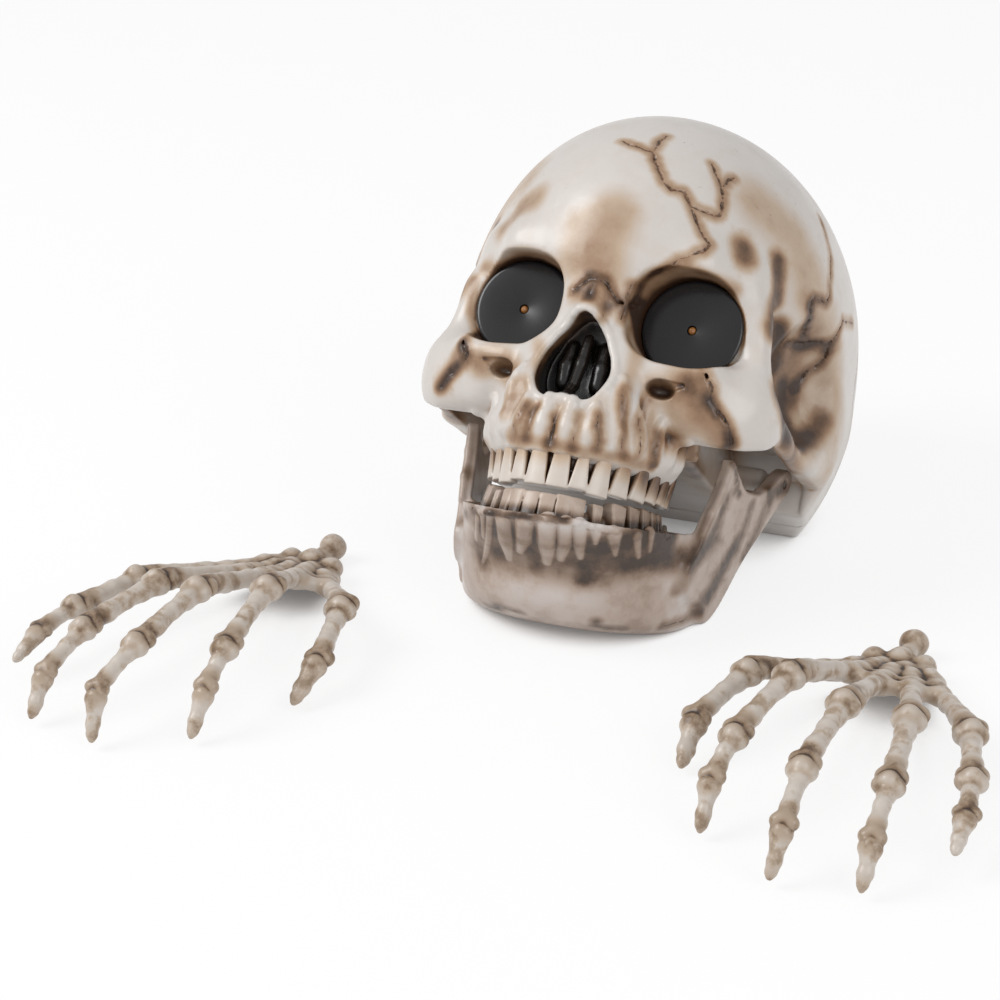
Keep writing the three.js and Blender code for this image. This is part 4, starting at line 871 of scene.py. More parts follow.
def paint_skull(points):
    """How much sprayed brown, painted shade, wash and black paint each point holds, and its distance to a
    crack in mm.
    """
    fine, middle, broad = (hollowness(cranium, points, reach) for reach in hollow_reaches)
    stain = sprayed(points, cranium, skull_sprays_and_shade)
    # brown wash and painted shade in the broad hollows, such as under the cheekbones
    stain = stain + 0.4 * fade(broad, 0.15, 0.6)
    # brown wash and painted shade in the temple recess, reaching less far behind it
    temple = np.linalg.norm((np.abs(points) - temple_middle) * temple_stretch, axis=1)
    temple = temple * (1 + (points[:, 1] > 0))
    stain = stain + temple_wash_and_shade * (1 - fade(temple, 8, 27))
    groove = np.maximum(fine * 0.9, middle * 0.75)
    crack = nearest_line(points, cracks)
    across, up = np.abs(points[:, 0]), points[:, 2]
    depth = -sample(plain_bone.distance, plain_bone.low, grain, np.column_stack([across, points[:, 1], up]))
    in_nose = -outline_distance(nose_outline(), points[:, 0], up)
    nose_wall = fade(in_nose, -1.4, -0.4) * (points[:, 1] < -60)
    black_paint_and_shade = np.maximum(nose_wall * fade(depth, 2.5, 7), fade(in_nose, 0.6, 1.8) * (points[:, 1] < -60))
    stain = stain + nose_wall * fade(depth, 0.3, 2.5) * 0.8
    in_hole = np.linalg.norm((points - hole_mouth)[:, 1:] / cheek_hole_size[1:], axis=1)
    in_hole = np.hypot(in_hole, (across - hole_mouth[0]) / cheek_hole_size[0])
    black_paint_and_shade = np.maximum(black_paint_and_shade, 0.95 * (1 - fade(in_hole, 0.85, 1.15)))
    in_socket = eye_socket()[2](across, points[:, 1], up)
    socket = (1 - fade(in_socket, 0.2, 1.2)) * (across > 5)
    groove = groove * (1 - 0.6 * socket)
    # brown wash in the eye sockets, with painted shade that grows deeper in and at the disc's edge
    stain = stain + socket * (0.15 + 0.4 * fade(depth, 1, 7) + 0.45 * fade(points[:, 1], -65, -58.5))
    return {"stain": np.clip(stain, 0, 1.2), "groove": groove, "crack": crack, "black_paint_and_shade": black_paint_and_shade, "ivory": 0}


# %% [markdown]
# ## Teeth
# Each tooth is a plate with a narrow neck and a wide edge, so wedges open between the necks, which
# painted shade darkens. The row is cast as one piece with a thin wall behind the wedges. It is sculpted
# in finer clay than the skull, because its edges are sharper, and it is seated in the gum ledge.

# %% One tooth and a row of teeth
tooth_rounding = 0.45


def tooth(root, outwards, width, depth, length, neck, lean=0.0):
    """A tapered plate from its neck to its edge. A length below zero hangs down."""
    down = -1 if length < 0 else 1
    length = abs(length)

    def formula(x, y, z):
        dx, dy, dz = x - root[0], y - root[1], (z - root[2]) * down
        part = np.clip(dz / length, 0, 1)
        along = -dx * outwards[1] + dy * outwards[0] - lean * dz
        out = dx * outwards[0] + dy * outwards[1]
        half_width = width / 2 * (neck + (1 - neck) * part ** 0.9) - tooth_rounding
        half_depth = depth / 2 * (1.0 - 0.3 * part) - tooth_rounding
        a = np.abs(along) - half_width
        b = np.abs(out) - half_depth + 0.05 * along ** 2
        c = np.abs(dz - length / 2) - length / 2 + tooth_rounding
        outside = np.sqrt(np.maximum(a, 0) ** 2 + np.maximum(b, 0) ** 2 + np.maximum(c, 0) ** 2)
        inside = np.minimum(np.maximum(a, np.maximum(b, c)), 0)
        return (outside + inside - tooth_rounding).astype(np.float32)

    spread = np.array((width, width, 0)) + depth / 2
    low, high = sorted((root[2], root[2] + down * length))
    foot = root * (1, 1, 0)
    return foot - spread + (0, 0, low + depth / 2), foot + spread + (0, 0, high), formula


def tooth_row(clay, arch, widths, crowns, lengths, necks, down, dice):
    """Presses a row of teeth on both sides of the arch."""
    for side in (1, -1):
        flip = (side, 1, 1)
        for index, turns in enumerate(arch_turns(arch, widths)):
            root, outwards = arch_place(arch, turns[1])
            depth = molar_depth if index > 3 else front_depth
            length = lengths[index] * down + dice.uniform(-0.3, 0.3)
            neck = necks[index] + dice.uniform(-0.04, 0.04)
            clay.press([tooth(root * flip, outwards * flip, crowns[index], depth, length, neck,
                              dice.uniform(-0.02, 0.02))])


def backing(arch, heights, inset, radius):
    """A low wall behind the necks, on both sides of the arch."""
    bars = []
    for height in heights:
        row = dict(arch, half_width=arch["half_width"] - inset, reach=arch["reach"] - inset,
                   height=arch["height"] + height, radius=radius)
        knots = np.array(arch_knots(row, 14))
        bars += limbs(knots) + limbs(knots * (-1, 1, 1, 1))
    return bars


# %% Upper teeth
upper_row = Clay((-40, -98, -62), (40, -34, -32), fine_grain)
upper_necks = [0.56, 0.38, 0.48, 0.42, 0.4, 0.36, 0.36, 0.4]
upper_crowns = [width * 1.07 for width in upper_widths]
inner_half_width = 28  # mm, the back of the row, which brown wash and painted shade cover
inner_reach = 37
tooth_row(upper_row, upper_teeth, upper_widths, upper_crowns, upper_lengths, upper_necks, -1,
          np.random.default_rng(5))
upper_row.press(backing(upper_teeth, (-1, -4, -7), 2.4, 2.2), 1)
upper_row.distance = np.maximum(upper_row.distance, upper_row.places()[2] - upper_teeth["height"] - 2.5)


def paint_upper_teeth(points):
    """Brown necks and ivory faces, with painted shade towards the back: near-black wedges and a dark inner
    side.
    """
    fine = hollowness(upper_row, points, 1.2)
    middle = hollowness(upper_row, points, 3)
    rise = points[:, 2] - upper_teeth["height"]
    # towards the back of the row, deeper in the mouth, the necks get browner and the wedges near-black:
    # painted shade
    back = fade(points[:, 1], -82, -66)
    neck = fade(rise, -12 - 2 * back, -4)
    stain = neck * (0.25 + 0.45 * back) + 0.06
    black_paint_and_shade = back * fade(rise, -14, -6) * fade(middle, -0.35, 0.05) * 0.92
    # the inner side of the row: brown wash and painted shade
    across = np.clip(1 - (points[:, 0] / inner_half_width) ** 2, 0, 1)
    behind = points[:, 1] > upper_teeth["back"] - 1 - inner_reach * np.sqrt(across)
    stain = stain + behind * 0.85 + 0.5 * fade(middle, -0.1, 0.25)
    return {"stain": np.clip(stain, 0, 1), "groove": np.maximum(fine, middle) * 1.3, "crack": far,
            "black_paint_and_shade": black_paint_and_shade, "ivory": 1}


# %% [markdown]
# ## The lower jaw
# The real jaw is one moulding: a horseshoe of bone with the lower teeth, and a broad blade on each side
# that rises to the hinge. Its flat underside stands on the surface, so its outline changes with height:
# a pointed, set-back chin below and a wide row of roots above. The horseshoe is lofted through outlines
# at five heights, turned into clay, and the blades, ridges and teeth are pressed on.

# %% Jaw: a loft through five horseshoes
jaw_levels = [
    {"half_width": 45, "back": -60, "reach": 24.5, "lift": 0.0, "square": 0.72, "deep": 9},
    {"half_width": 46, "back": -60, "reach": 33.5, "lift": 0.07, "square": 0.8, "deep": 10},
    {"half_width": 46, "back": -60, "reach": 45, "lift": 0.22, "square": 0.93, "deep": 11},
    {"half_width": 44, "back": -63, "reach": 45, "lift": 0.6, "square": 0.92, "deep": 12},
]
jaw_top = {"half_width": 42, "back": -42, "reach": 53.5, "height": -68, "rise": 10, "deep": 16}
loft_turns = 72
loft_levels = 40


def horseshoe(level, angles, inside):
    """One outline of the loft: x, y and z for each angle from the left end round to the right."""
    inset = level["deep"] if inside else 0
    square = level.get("square", 1)
    sine = np.sign(np.sin(angles)) * np.abs(np.sin(angles)) ** square
    cosine = np.maximum(np.cos(angles), 0) ** square
    x = (level["half_width"] - inset) * sine
    y = level["back"] - (level["reach"] - inset) * cosine
    return x, y, level.get("height", 0) + level.get("rise", 0) * (1 - cosine)


def smooth_run(knots, places):
    """A smooth curve through values at uneven knots, with the tangents of its neighbours."""
    knots = np.asarray(knots, float)
    sizes, values = knots[:, 0], knots[:, 1:]
    slopes = np.gradient(values, sizes, axis=0)
    index = np.clip(np.searchsorted(sizes, places, side="right") - 1, 0, len(sizes) - 2)
    width = (sizes[index + 1] - sizes[index])[:, None]
    t = (np.asarray(places)[:, None] - sizes[index][:, None]) / width
    start, end = values[index], values[index + 1]
    rise, fall = slopes[index] * width, slopes[index + 1] * width
    return ((2 * t ** 3 - 3 * t ** 2 + 1) * start + (t ** 3 - 2 * t ** 2 + t) * rise
            + (3 * t ** 2 - 2 * t ** 3) * end + (t ** 3 - t ** 2) * fall)


def jaw_loft():
    """The horseshoe's closed mesh in the head's axes."""
    angles = np.linspace(-math.pi / 2, math.pi / 2, loft_turns + 1)
    lifts = [level["lift"] for level in jaw_levels] + [1.0]
    rings = []
    for inside in (False, True):
        x, y, z = horseshoe(jaw_top, angles, inside)
        top_y, top_z = standing(y, z)
        outlines = []
        for level in jaw_levels:
            level_x, level_y, _ = horseshoe(level, angles, inside)
            outlines.append((level_x, level_y + head_back, level["lift"] * top_z))
        outlines.append((x, top_y, top_z))
        knots = np.array([[lift, *np.ravel(outline)] for lift, outline in zip(lifts, outlines)])
        places = np.linspace(0, 1, loft_levels + 1)
        rings.append(smooth_run(knots, places).reshape(loft_levels + 1, 3, -1).transpose(0, 2, 1))
    outer, inner = rings
    loop = np.concatenate([outer, inner[::-1]], axis=0)
    points = loop.reshape(-1, 3)
    rows, columns = loop.shape[:2]
    at = np.arange(rows * columns).reshape(rows, columns)
    ahead = np.roll(at, -1, axis=0)
    around = np.stack([at[:, :-1], at[:, 1:], ahead[:, 1:], ahead[:, :-1]], axis=-1).reshape(-1, 4)
    half = rows // 2
    low_side, high_side = at[:half], at[half:][::-1]
    caps = []
    for column in (0, -1):
        a, b = low_side[:, column], high_side[:, column]
        cap = np.stack([a[:-1], a[1:], b[1:], b[:-1]], axis=-1)
        caps.append(cap[:, ::-1] if column == 0 else cap)
    return frame_to_head(points * mm), np.concatenate([around, *caps])


def fill_from_mesh(clay, points, quads, band=9):
    """Fills a block with the distance to a closed mesh, in a band of voxels about its surface."""
    scaled = (points - clay.low) / clay.step
    level_set = openvdb.FloatGrid.createLevelSetFromPolygons(
        scaled.astype(np.float32), quads=quads.astype(np.uint32), halfWidth=band)
    values = np.full(clay.distance.shape, band, np.float32)
    level_set.copyToArray(values)
    clay.distance = values * clay.step


jaw = Clay((-68, -122, -122), (68, 30, -18), fine_grain)
fill_from_mesh(jaw, *jaw_loft())
print("Jaw block:", jaw.distance.shape)

# %% Jaw: the two blades
blade_outline = [
    (-67, 0), (-60, 0), (-52, 3.5), (-37, 14), (-20, 21), (-6, 27.5), (0, 29), (2.5, 34), (0, 39),
    (-6, 40), (-14, 37.5), (-25, 37), (-36, 42), (-42, 52), (-45, 57.5), (-45.8, 59.2), (-47, 59),
    (-48, 56.5), (-53, 49), (-62, 42.5), (-68, 36), (-73, 31.5), (-80, 28.5), (-80, 18), (-69, 10),
]
blade_thickness = 5
blade_flare = 0.214  # how much further out the blade lies per mm towards the hinge
jaw_corner = (50, -60)
blade_rounding = 1.1


def rounded_outline(points, times=2):
    """Cuts the corners of a closed outline, twice as many points each time."""
    points = np.array(points, float)
    for _ in range(times):
        ahead = np.roll(points, -1, axis=0)
        points = np.stack([points * 0.75 + ahead * 0.25, points * 0.25 + ahead * 0.75], axis=1)
        points = points.reshape(-1, 2)
    return [tuple(point) for point in points]


def blade(side):
    outline = rounded_outline(blade_outline)

    def formula(x, y, z):
        level_y, level_z = standing(y, z)
        level_y = level_y - head_back
        flat = outline_distance(outline, level_y, level_z) + blade_rounding
        middle = jaw_corner[0] + blade_flare * (level_y - jaw_corner[1]) - blade_thickness / 2
        thick = np.abs(x * side - middle) / math.hypot(1, blade_flare) - blade_thickness / 2 + blade_rounding
        outside = np.hypot(np.maximum(flat, 0), np.maximum(thick, 0))
        return (outside + np.minimum(np.maximum(flat, thick), 0) - blade_rounding).astype(np.float32)

    low, high = sorted((side * 36, side * 67))
    return np.array((low, -119, -118)), np.array((high, 27, -20)), formula


jaw.press([blade(1), blade(-1)], 4)

blade_ridges = [
    [(51, -46.8, 57, 0.7), (50.3, -52, 50, 1.1), (48.6, -60.5, 43, 1.2), (47.2, -67, 37, 1.0)],
    [(51.2, -45.5, 56.5, 0.7), (51.9, -41, 49, 0.9), (53.2, -36, 42, 0.9), (56, -27, 37, 0.8)],
]
for side in (1, -1):
    for ridge in blade_ridges:
        knots = [(*at_level(side * x, y + head_back, z), radius) for x, y, z, radius in ridge]
        jaw.press(limbs(knots), 2)

# %% Jaw: roots drawn in the picture
jaw_roots = [  # pixels from the neck to the tip, and the half width at each in mm
    [(501, 516, 3.5), (503, 536, 3.3), (508, 556, 1.4)],
    [(523, 518, 3.6), (522, 534, 3.3), (519, 549, 1.4)],
    [(546, 519, 3.9), (546, 538, 3.6), (547, 560, 1.6)],
    [(565, 522, 3.0), (565, 540, 2.8), (561, 557, 1.3)],
    [(580, 524, 2.8), (580, 540, 2.4), (581, 556, 1.1)],
    [(597, 529, 2.0), (596, 542, 0.8)],
    [(616, 533, 3.0), (616, 542, 2.2), (616, 554, 0.7)],
    [(636, 522, 2.7), (638, 535, 2.2), (639, 556, 0.8)],
    [(651, 519, 2.1), (652, 532, 1.8), (650, 550, 0.8)],
    [(664, 518, 1.7), (666, 534, 1.0)],
    [(489, 513, 1.6), (487, 542, 1.3), (483, 561, 0.7)],
    [(482, 510, 1.3), (483, 535, 1.0)],
    [(477, 516, 1.2), (476, 538, 0.8)],
]
root_ridges_of_jaw = []
for marks in jaw_roots:
    marks = np.array(marks)
    landed = land_pixels(jaw, marks[:, :2])
    inwards = (0, -50, 0) - landed
    inwards[:, 2] = 0
    inwards /= np.linalg.norm(inwards, axis=1)[:, None]
    root_ridges_of_jaw.append(np.column_stack([landed + inwards * marks[:, 2:] * 0.72, marks[:, 2]]))
for knots in root_ridges_of_jaw:
    jaw.press(limbs(knots), 0.6)
gum_pixels = [(480, 512), (487, 512), (505, 514), (525, 516), (546, 518), (565, 521), (580, 523),
              (597, 528), (616, 531), (627, 527), (640, 522), (652, 519), (666, 519)]
jaw_gum = roughened(land_pixels(jaw, gum_pixels), crack_dice, 2.0, 0.3)
jaw.press(limbs(np.column_stack([jaw_gum, np.full(len(jaw_gum), 1.0)])), 0.8)

# %% Jaw: cracks, hinge bores and the flat underside
jaw_cracks = {
    "back_rim": [(663, 626), (682, 621), (700, 614)],
    "chin_scratch": [(489, 607), (505, 608), (520, 612)],
    "middle_scratch": [(596, 621), (598, 626), (612, 628), (622, 629)],
    "side_scratch": [(664, 541), (672, 536), (682, 531)],
    "far_line": [(463, 521), (473, 508), (482, 499)],
}
jaw_lines = []
for name, pixels in jaw_cracks.items():
    points = roughened(land_pixels(jaw, pixels), crack_dice)
    jaw_lines.append(np.column_stack([points, np.full(len(points), 0.2)]))
for knots in jaw_lines:
    jaw.scoop(limbs(knots), 0.3)
jaw.scoop([level_bar((-80, hinge_y, hinge_z), (80, hinge_y, hinge_z), pin_radius + hinge_gap)])
jaw_height = standing(*jaw.places()[1:])[1]
jaw.distance = np.maximum(jaw.distance, joint_gap / 2 - jaw_height).astype(np.float32)

# %% Lower teeth
lower_row = Clay((-40, -100, -74), (40, -26, -48), fine_grain)
lower_necks = [0.86, 0.86, 0.84, 0.8, 0.82, 0.8, 0.8, 0.8, 0.8]
tooth_row(lower_row, lower_teeth, lower_widths, lower_crowns, lower_lengths, lower_necks, 1,
          np.random.default_rng(8))
lower_row.press(backing(lower_teeth, (1, 4), 2.2, 2.0), 1)


def paint_lower_teeth(points):
    """Brown between the teeth and along the gum, paler crowns, and painted shade towards the back of the row.
    """
    fine = hollowness(lower_row, points, 1.2)
    middle = hollowness(lower_row, points, 3)
    gum = lower_teeth["height"] + lower_teeth["rise"] * fade(points[:, 1], -92, -40)
    neck = 1 - fade(points[:, 2] - gum, 1, 6)
    # painted shade: the teeth get darker towards the back of the row, most at the gum
    back = fade(points[:, 1], -84, -66)
    stain = 0.28 + neck * 0.8 + back * 0.25
    return {"stain": np.clip(stain, 0, 1), "groove": np.maximum(fine, middle) + 0.1, "crack": far,
            "black_paint_and_shade": back * neck * 0.3, "ivory": 0.6}


# %% Paint of the jaw
jaw_sprays = [
    ([(480, 548), (520, 558), (560, 566), (600, 570), (640, 560), (664, 548)], 12, 0.55),
    ([(482, 528), (520, 536), (560, 545), (600, 548), (640, 540), (662, 532)], 11, 0.95),
    ([(500, 552)], 6, 0.6),
    ([(531, 552), (536, 566)], 5, 0.7),
    ([(585, 562), (585, 577)], 6, 0.9),
    ([(572, 560)], 5, 0.6),
    ([(616, 562), (634, 562)], 6, 0.85),
    ([(655, 552), (676, 562)], 9, 0.5),
    ([(482, 560)], 5, 0.5),
    ([(486, 513), (526, 516), (566, 519), (600, 524), (640, 520), (664, 514)], 3.2, 0.8),
    ([(736, 545), (716, 580), (698, 606)], 6, 0.5),
    ([(726, 500), (714, 535), (694, 566), (676, 590)], 5, 0.45),
    ([(752, 505), (744, 530), (730, 556), (708, 600)], 4.5, 0.5),
    ([(770, 500), (758, 530), (744, 556)], 5, 0.45),
    ([(660, 560), (690, 556), (716, 540)], 7, 0.45),
    ([(733, 464), (740, 496)], 2.2, 0.6),
    ([(746, 490), (770, 492), (788, 488)], 5, 0.6, "both sides"),
    ([(690, 560), (712, 528)], 7, 0.35),
    ([(468, 470), (470, 520)], 4, 0.35),
]


def paint_jaw(points):
    """How much sprayed brown, wash and painted shade each point of the jaw holds. Its roots stand out pale.
    """
    fine, middle = (hollowness(jaw, points, reach) for reach in hollow_reaches[:2])
    stain = sprayed(points, jaw, jaw_sprays)
    pale = 1 - fade(nearest_line(points, root_ridges_of_jaw), -0.3, 0.7)
    stain = 0.05 + stain * (1 - 0.72 * pale)
    ramus = fade(np.abs(points[:, 0]), 43, 48)
    stain = stain + 0.2 * ramus
    # painted shade on the inside of the horseshoe, towards the back
    inside = 0.3 * fade(points[:, 1], -74, -50) * (1 - fade(np.abs(points[:, 0]), 34, 44))
    groove = np.maximum(fine, middle * 0.8) * (1 - 0.5 * pale)
    return {"stain": np.clip(stain + inside, 0, 1.2), "groove": groove,
            "crack": nearest_line(points, jaw_lines), "black_paint_and_shade": 0, "ivory": 0}


# %% [markdown]
# ## Skeleton hands
# Each real hand is one soft plastic moulding of all its bones, arched so that the fingertips and the
# wrist ball stand on the surface. A finger bone has a flared base, a waisted shaft and a head of two
# rounded knobs. Each bone is melted together by itself and laid against the next one with a sharp seam.
# The left hand is sculpted once, and the right hand is its mirror image.

# %% Hand bones
hand_length = 168
hand_width = 100
knuckle_height = 30
ball_radius = 6
hand_places = {"left_hand": (1, 127, -64.3), "right_hand": (-1, -102.8, -64.7)}
hand_turn = math.radians(-4)
palm_shares = [(-0.11, 0.17, 0.2), (-0.05, 0.175, 0.24), (0.01, 0.175, 0.24), (0.07, 0.17, 0.22),
               (0.12, 0.155, 0.2)]
finger_shares = [
    [(-0.39, 0.377, 0.6), (-0.474, 0.573, 0.46), (-0.46, 0.672, 0.13)],
    [(-0.192, 0.476, 0.98), (-0.248, 0.708, 0.86), (-0.266, 0.82, 0.6), (-0.263, 0.882, 0.12)],
    [(0.025, 0.542, 0.97), (0.019, 0.787, 0.91), (0.04, 0.936, 0.66), (0.026, 0.98, 0.13)],
    [(0.224, 0.508, 0.84), (0.279, 0.746, 0.82), (0.298, 0.894, 0.58), (0.302, 0.952, 0.13)],
    [(0.392, 0.432, 0.58), (0.477, 0.605, 0.58), (0.515, 0.725, 0.52), (0.522, 0.815, 0.34)],
]
bone_radius = 6.3
bone_end_shares = [1, 0.91, 0.79, 0.5]
waist_share = 0.66
tip_radius = 1.7
hand = Clay((-58, -174, -2), (66, 9, 44), fine_grain)
knuckles = []


def hand_point(shares, radius):
    x, y, z = shares
    return np.array((x * hand_width, -y * hand_length, max(z * knuckle_height, radius)))


def bone_axes(start, end):
    """A bone's length, the direction along it and the level direction across it."""
    line = end - start
    length = np.linalg.norm(line)
    line = line / length
    across = np.cross(line, (0, 0, 1))
    return length, line, across / np.linalg.norm(across)


def finger_bone(start, end, start_radius, end_radius):
    """The shapes of a bone: its shaft, the two knobs of its head and the flared rim of its base."""
    length, line, across = bone_axes(start, end)
    up = np.cross(across, line)
    waist = min(start_radius, end_radius) * waist_share
    shaft = [
        (*(start + line * start_radius * 0.55), start_radius * 0.84),
        (*(start + line * length * 0.3), (waist + start_radius * 0.72) / 2),
        (*(start + line * length * 0.52 + up * 0.4), waist),
        (*(start + line * length * 0.78), waist * 1.1),
        (*(end - line * end_radius * 0.3), end_radius * 0.78),
    ]
    lumps = [ball(end + across * end_radius * 0.45 * side - up * end_radius * 0.05, end_radius * 0.64)
             for side in (1, -1)]
    rim = start + line * start_radius * 0.75
    lumps += [ball(rim + across * start_radius * 0.4 * side, start_radius * 0.68) for side in (1, -1)]
    lumps.append(ball(start + line * start_radius * 0.7 + up * start_radius * 0.38, start_radius * 0.66))
    return limbs(shaft) + lumps


def tip_bone(start, end, start_radius):
    """The last bone of a finger, which tapers to a blunt point."""
    length, line, across = bone_axes(start, end)
    shaft = [
        (*(start + line * start_radius * 0.6), start_radius * 0.86),
        (*(start + line * length * 0.36), start_radius * 0.7),
        (*(start + line * length * 0.7), start_radius * 0.64),
        (*(start + line * length * 0.9), start_radius * 0.52),
        (*end, tip_radius),
    ]
    rim = start + line * start_radius * 0.8
    lumps = [ball(rim + across * start_radius * 0.36 * side, start_radius * 0.62) for side in (1, -1)]
    return limbs(shaft) + lumps


palm_lines = []
for index, joints in enumerate(finger_shares):
    radii = [bone_radius * share for share in bone_end_shares[:len(joints)]]
    points = [hand_point(palm_shares[index], bone_radius)]
    points += [hand_point(joint, radius) for joint, radius in zip(joints, radii)]
    points[-1][2] = max(joints[-1][2] * knuckle_height, tip_radius + 0.3)
    palm_lines.append(points[:2])
    radii = [bone_radius * 0.95, *radii]
    for number in range(len(points) - 2):
        bone = finger_bone(points[number], points[number + 1], radii[number], radii[number + 1])
        hand.lay(bone, 1.3, 0.2)
        knuckles.append((*points[number + 1], radii[number + 1]))
    hand.lay(tip_bone(points[-2], points[-1], radii[-2] * 0.96), 1.4, 0.35)

web_radius = 3.4
for (start, end), (next_start, next_end) in zip(palm_lines, palm_lines[1:]):
    for share in (0.12, 0.24, 0.36):
        near, beyond = start + (end - start) * share, next_start + (next_end - next_start) * share
        hand.press([limb((*near, web_radius), (*beyond, web_radius))], 3)
wrist = hand_point((0, 0.09, 0.2), ball_radius)
hand.lay([ball((0, 0, ball_radius), ball_radius), limb((0, -3, ball_radius, 3.6), (*wrist, 4.6))], 1.5, 0.3)
carpals = [(-9, -19, 6.5, 5.6), (0, -18, 7.6, 5.8), (8.5, -18, 6.8, 5.4),
           (-12.5, -27, 6, 5.4), (-4.5, -27.5, 7.6, 5.6), (4, -27, 7.8, 5.4), (11.5, -25.5, 6.8, 5.4)]
for *place, radius in carpals:
    hand.lay([egg(place, (radius * 1.02, radius * 1.1, radius * 0.95))], 0, 2.6)
hand_dice = np.random.default_rng(12)
hand_inset = 0.7  # keeps the knobs within the box of the model
knobbly = 0.16 * ripple(hand.places(), 8, hand_dice) + 0.04 * ripple(hand.places(), 3.2, hand_dice)
hand.distance = hand.distance + knobbly + hand_inset
hand.distance = np.maximum(hand.distance, joint_gap / 2 - hand.places()[2]).astype(np.float32)
print("Hand block:", hand.distance.shape, "with", len(knuckles), "joints")


def paint_hand(points):
    """Brown wash in the joints and between the bones, and painted shade on the lowest parts near the floor.
    """
    fine = hollowness(hand, points, 1.4)
    middle = hollowness(hand, points, 3.5)
    stain = 0.05 + 0.5 * fade(middle, -0.25, 0.2)
    for *place, radius in knuckles:
        apart = np.linalg.norm(points - np.array(place), axis=1) - radius
        stain = stain + 0.3 * (1 - fade(apart, -1.5, 3.5))
    # painted shade: darker on the lowest few mm, where the hand meets the floor
    under = 0.25 * (1 - fade(points[:, 2], 1, 14))
    return {"stain": np.clip(stain + under, 0, 1), "groove": np.maximum(fine * 2.6, middle * 1.4),
            "crack": far, "black_paint_and_shade": 0, "ivory": 0}


# %% [markdown]
# ## Painted bone
# The plastic is white PVC, sprayed a pale grey bone colour, then washed with thin brown paint that runs
# into grooves, wiped off the high places and sprayed brown in soft patches. Under a semi-gloss varnish
# that gives pale ridges, brown hollows and near-black pits. Thin brown paint lets the bone shine through,
# so its colour multiplies the bone's. The clay knows how hollow each place is and how far from a crack,
# and the material turns that into paint, with edges that fine noise breaks up. The same brown and
# near-black also carry painted shade in deep recesses and at the back of the mouth.

# %% Colours and nodes
def linear(colour):
    """A colour written as sRGB hex, as the linear numbers that the shader wants."""
    parts = [int(colour[i:i + 2], 16) / 255 for i in (1, 3, 5)]
    return [p / 12.92 if p <= 0.04045 else ((p + 0.055) / 1.055) ** 2.4 for p in parts] + [1.0]


def add_node(tree, kind, links=(), **settings):
    """Adds a node, sets its properties, and sets or links its inputs."""
    node = tree.nodes.new("ShaderNode" + kind)
    for name, value in settings.items():
        setattr(node, name, value)
    for socket, value in dict(links).items():
        if isinstance(value, bpy.types.NodeSocket):
            tree.links.new(value, node.inputs[socket])
        else:
            node.inputs[socket].default_value = value
    return node


def new_material(name):
    material = bpy.data.materials.new(name)
    material.use_nodes = True
    tree = material.node_tree
    shader = tree.nodes["Principled BSDF"]
    place = add_node(tree, "TexCoord").outputs["Object"]
    return material, tree, shader, place


def noise_scale(size_mm):
    """The noise scale whose spots are about this size, for coordinates in metres."""
    return 1 / (size_mm * mm)


def mixed(tree, factor, low, high, blend="MIX"):
    """Two colours mixed by a factor."""
    node = add_node(tree, "Mix", {0: factor, 6: low, 7: high}, data_type="RGBA", blend_type=blend)
    return node.outputs[2]


def worked(tree, operation, *values):
    """A sum or product of numbers, kept between 0 and 1."""
    return add_node(tree, "Math", dict(enumerate(values)), operation=operation, use_clamp=True).outputs[0]


def run_between(tree, value, low, high, start=0.0, end=1.0):
    """A smooth run from a start to an end value while a value goes from low to high."""
    sockets = {0: value, 1: low, 2: high, 3: start, 4: end}
    return add_node(tree, "MapRange", sockets, interpolation_type="SMOOTHSTEP").outputs[0]


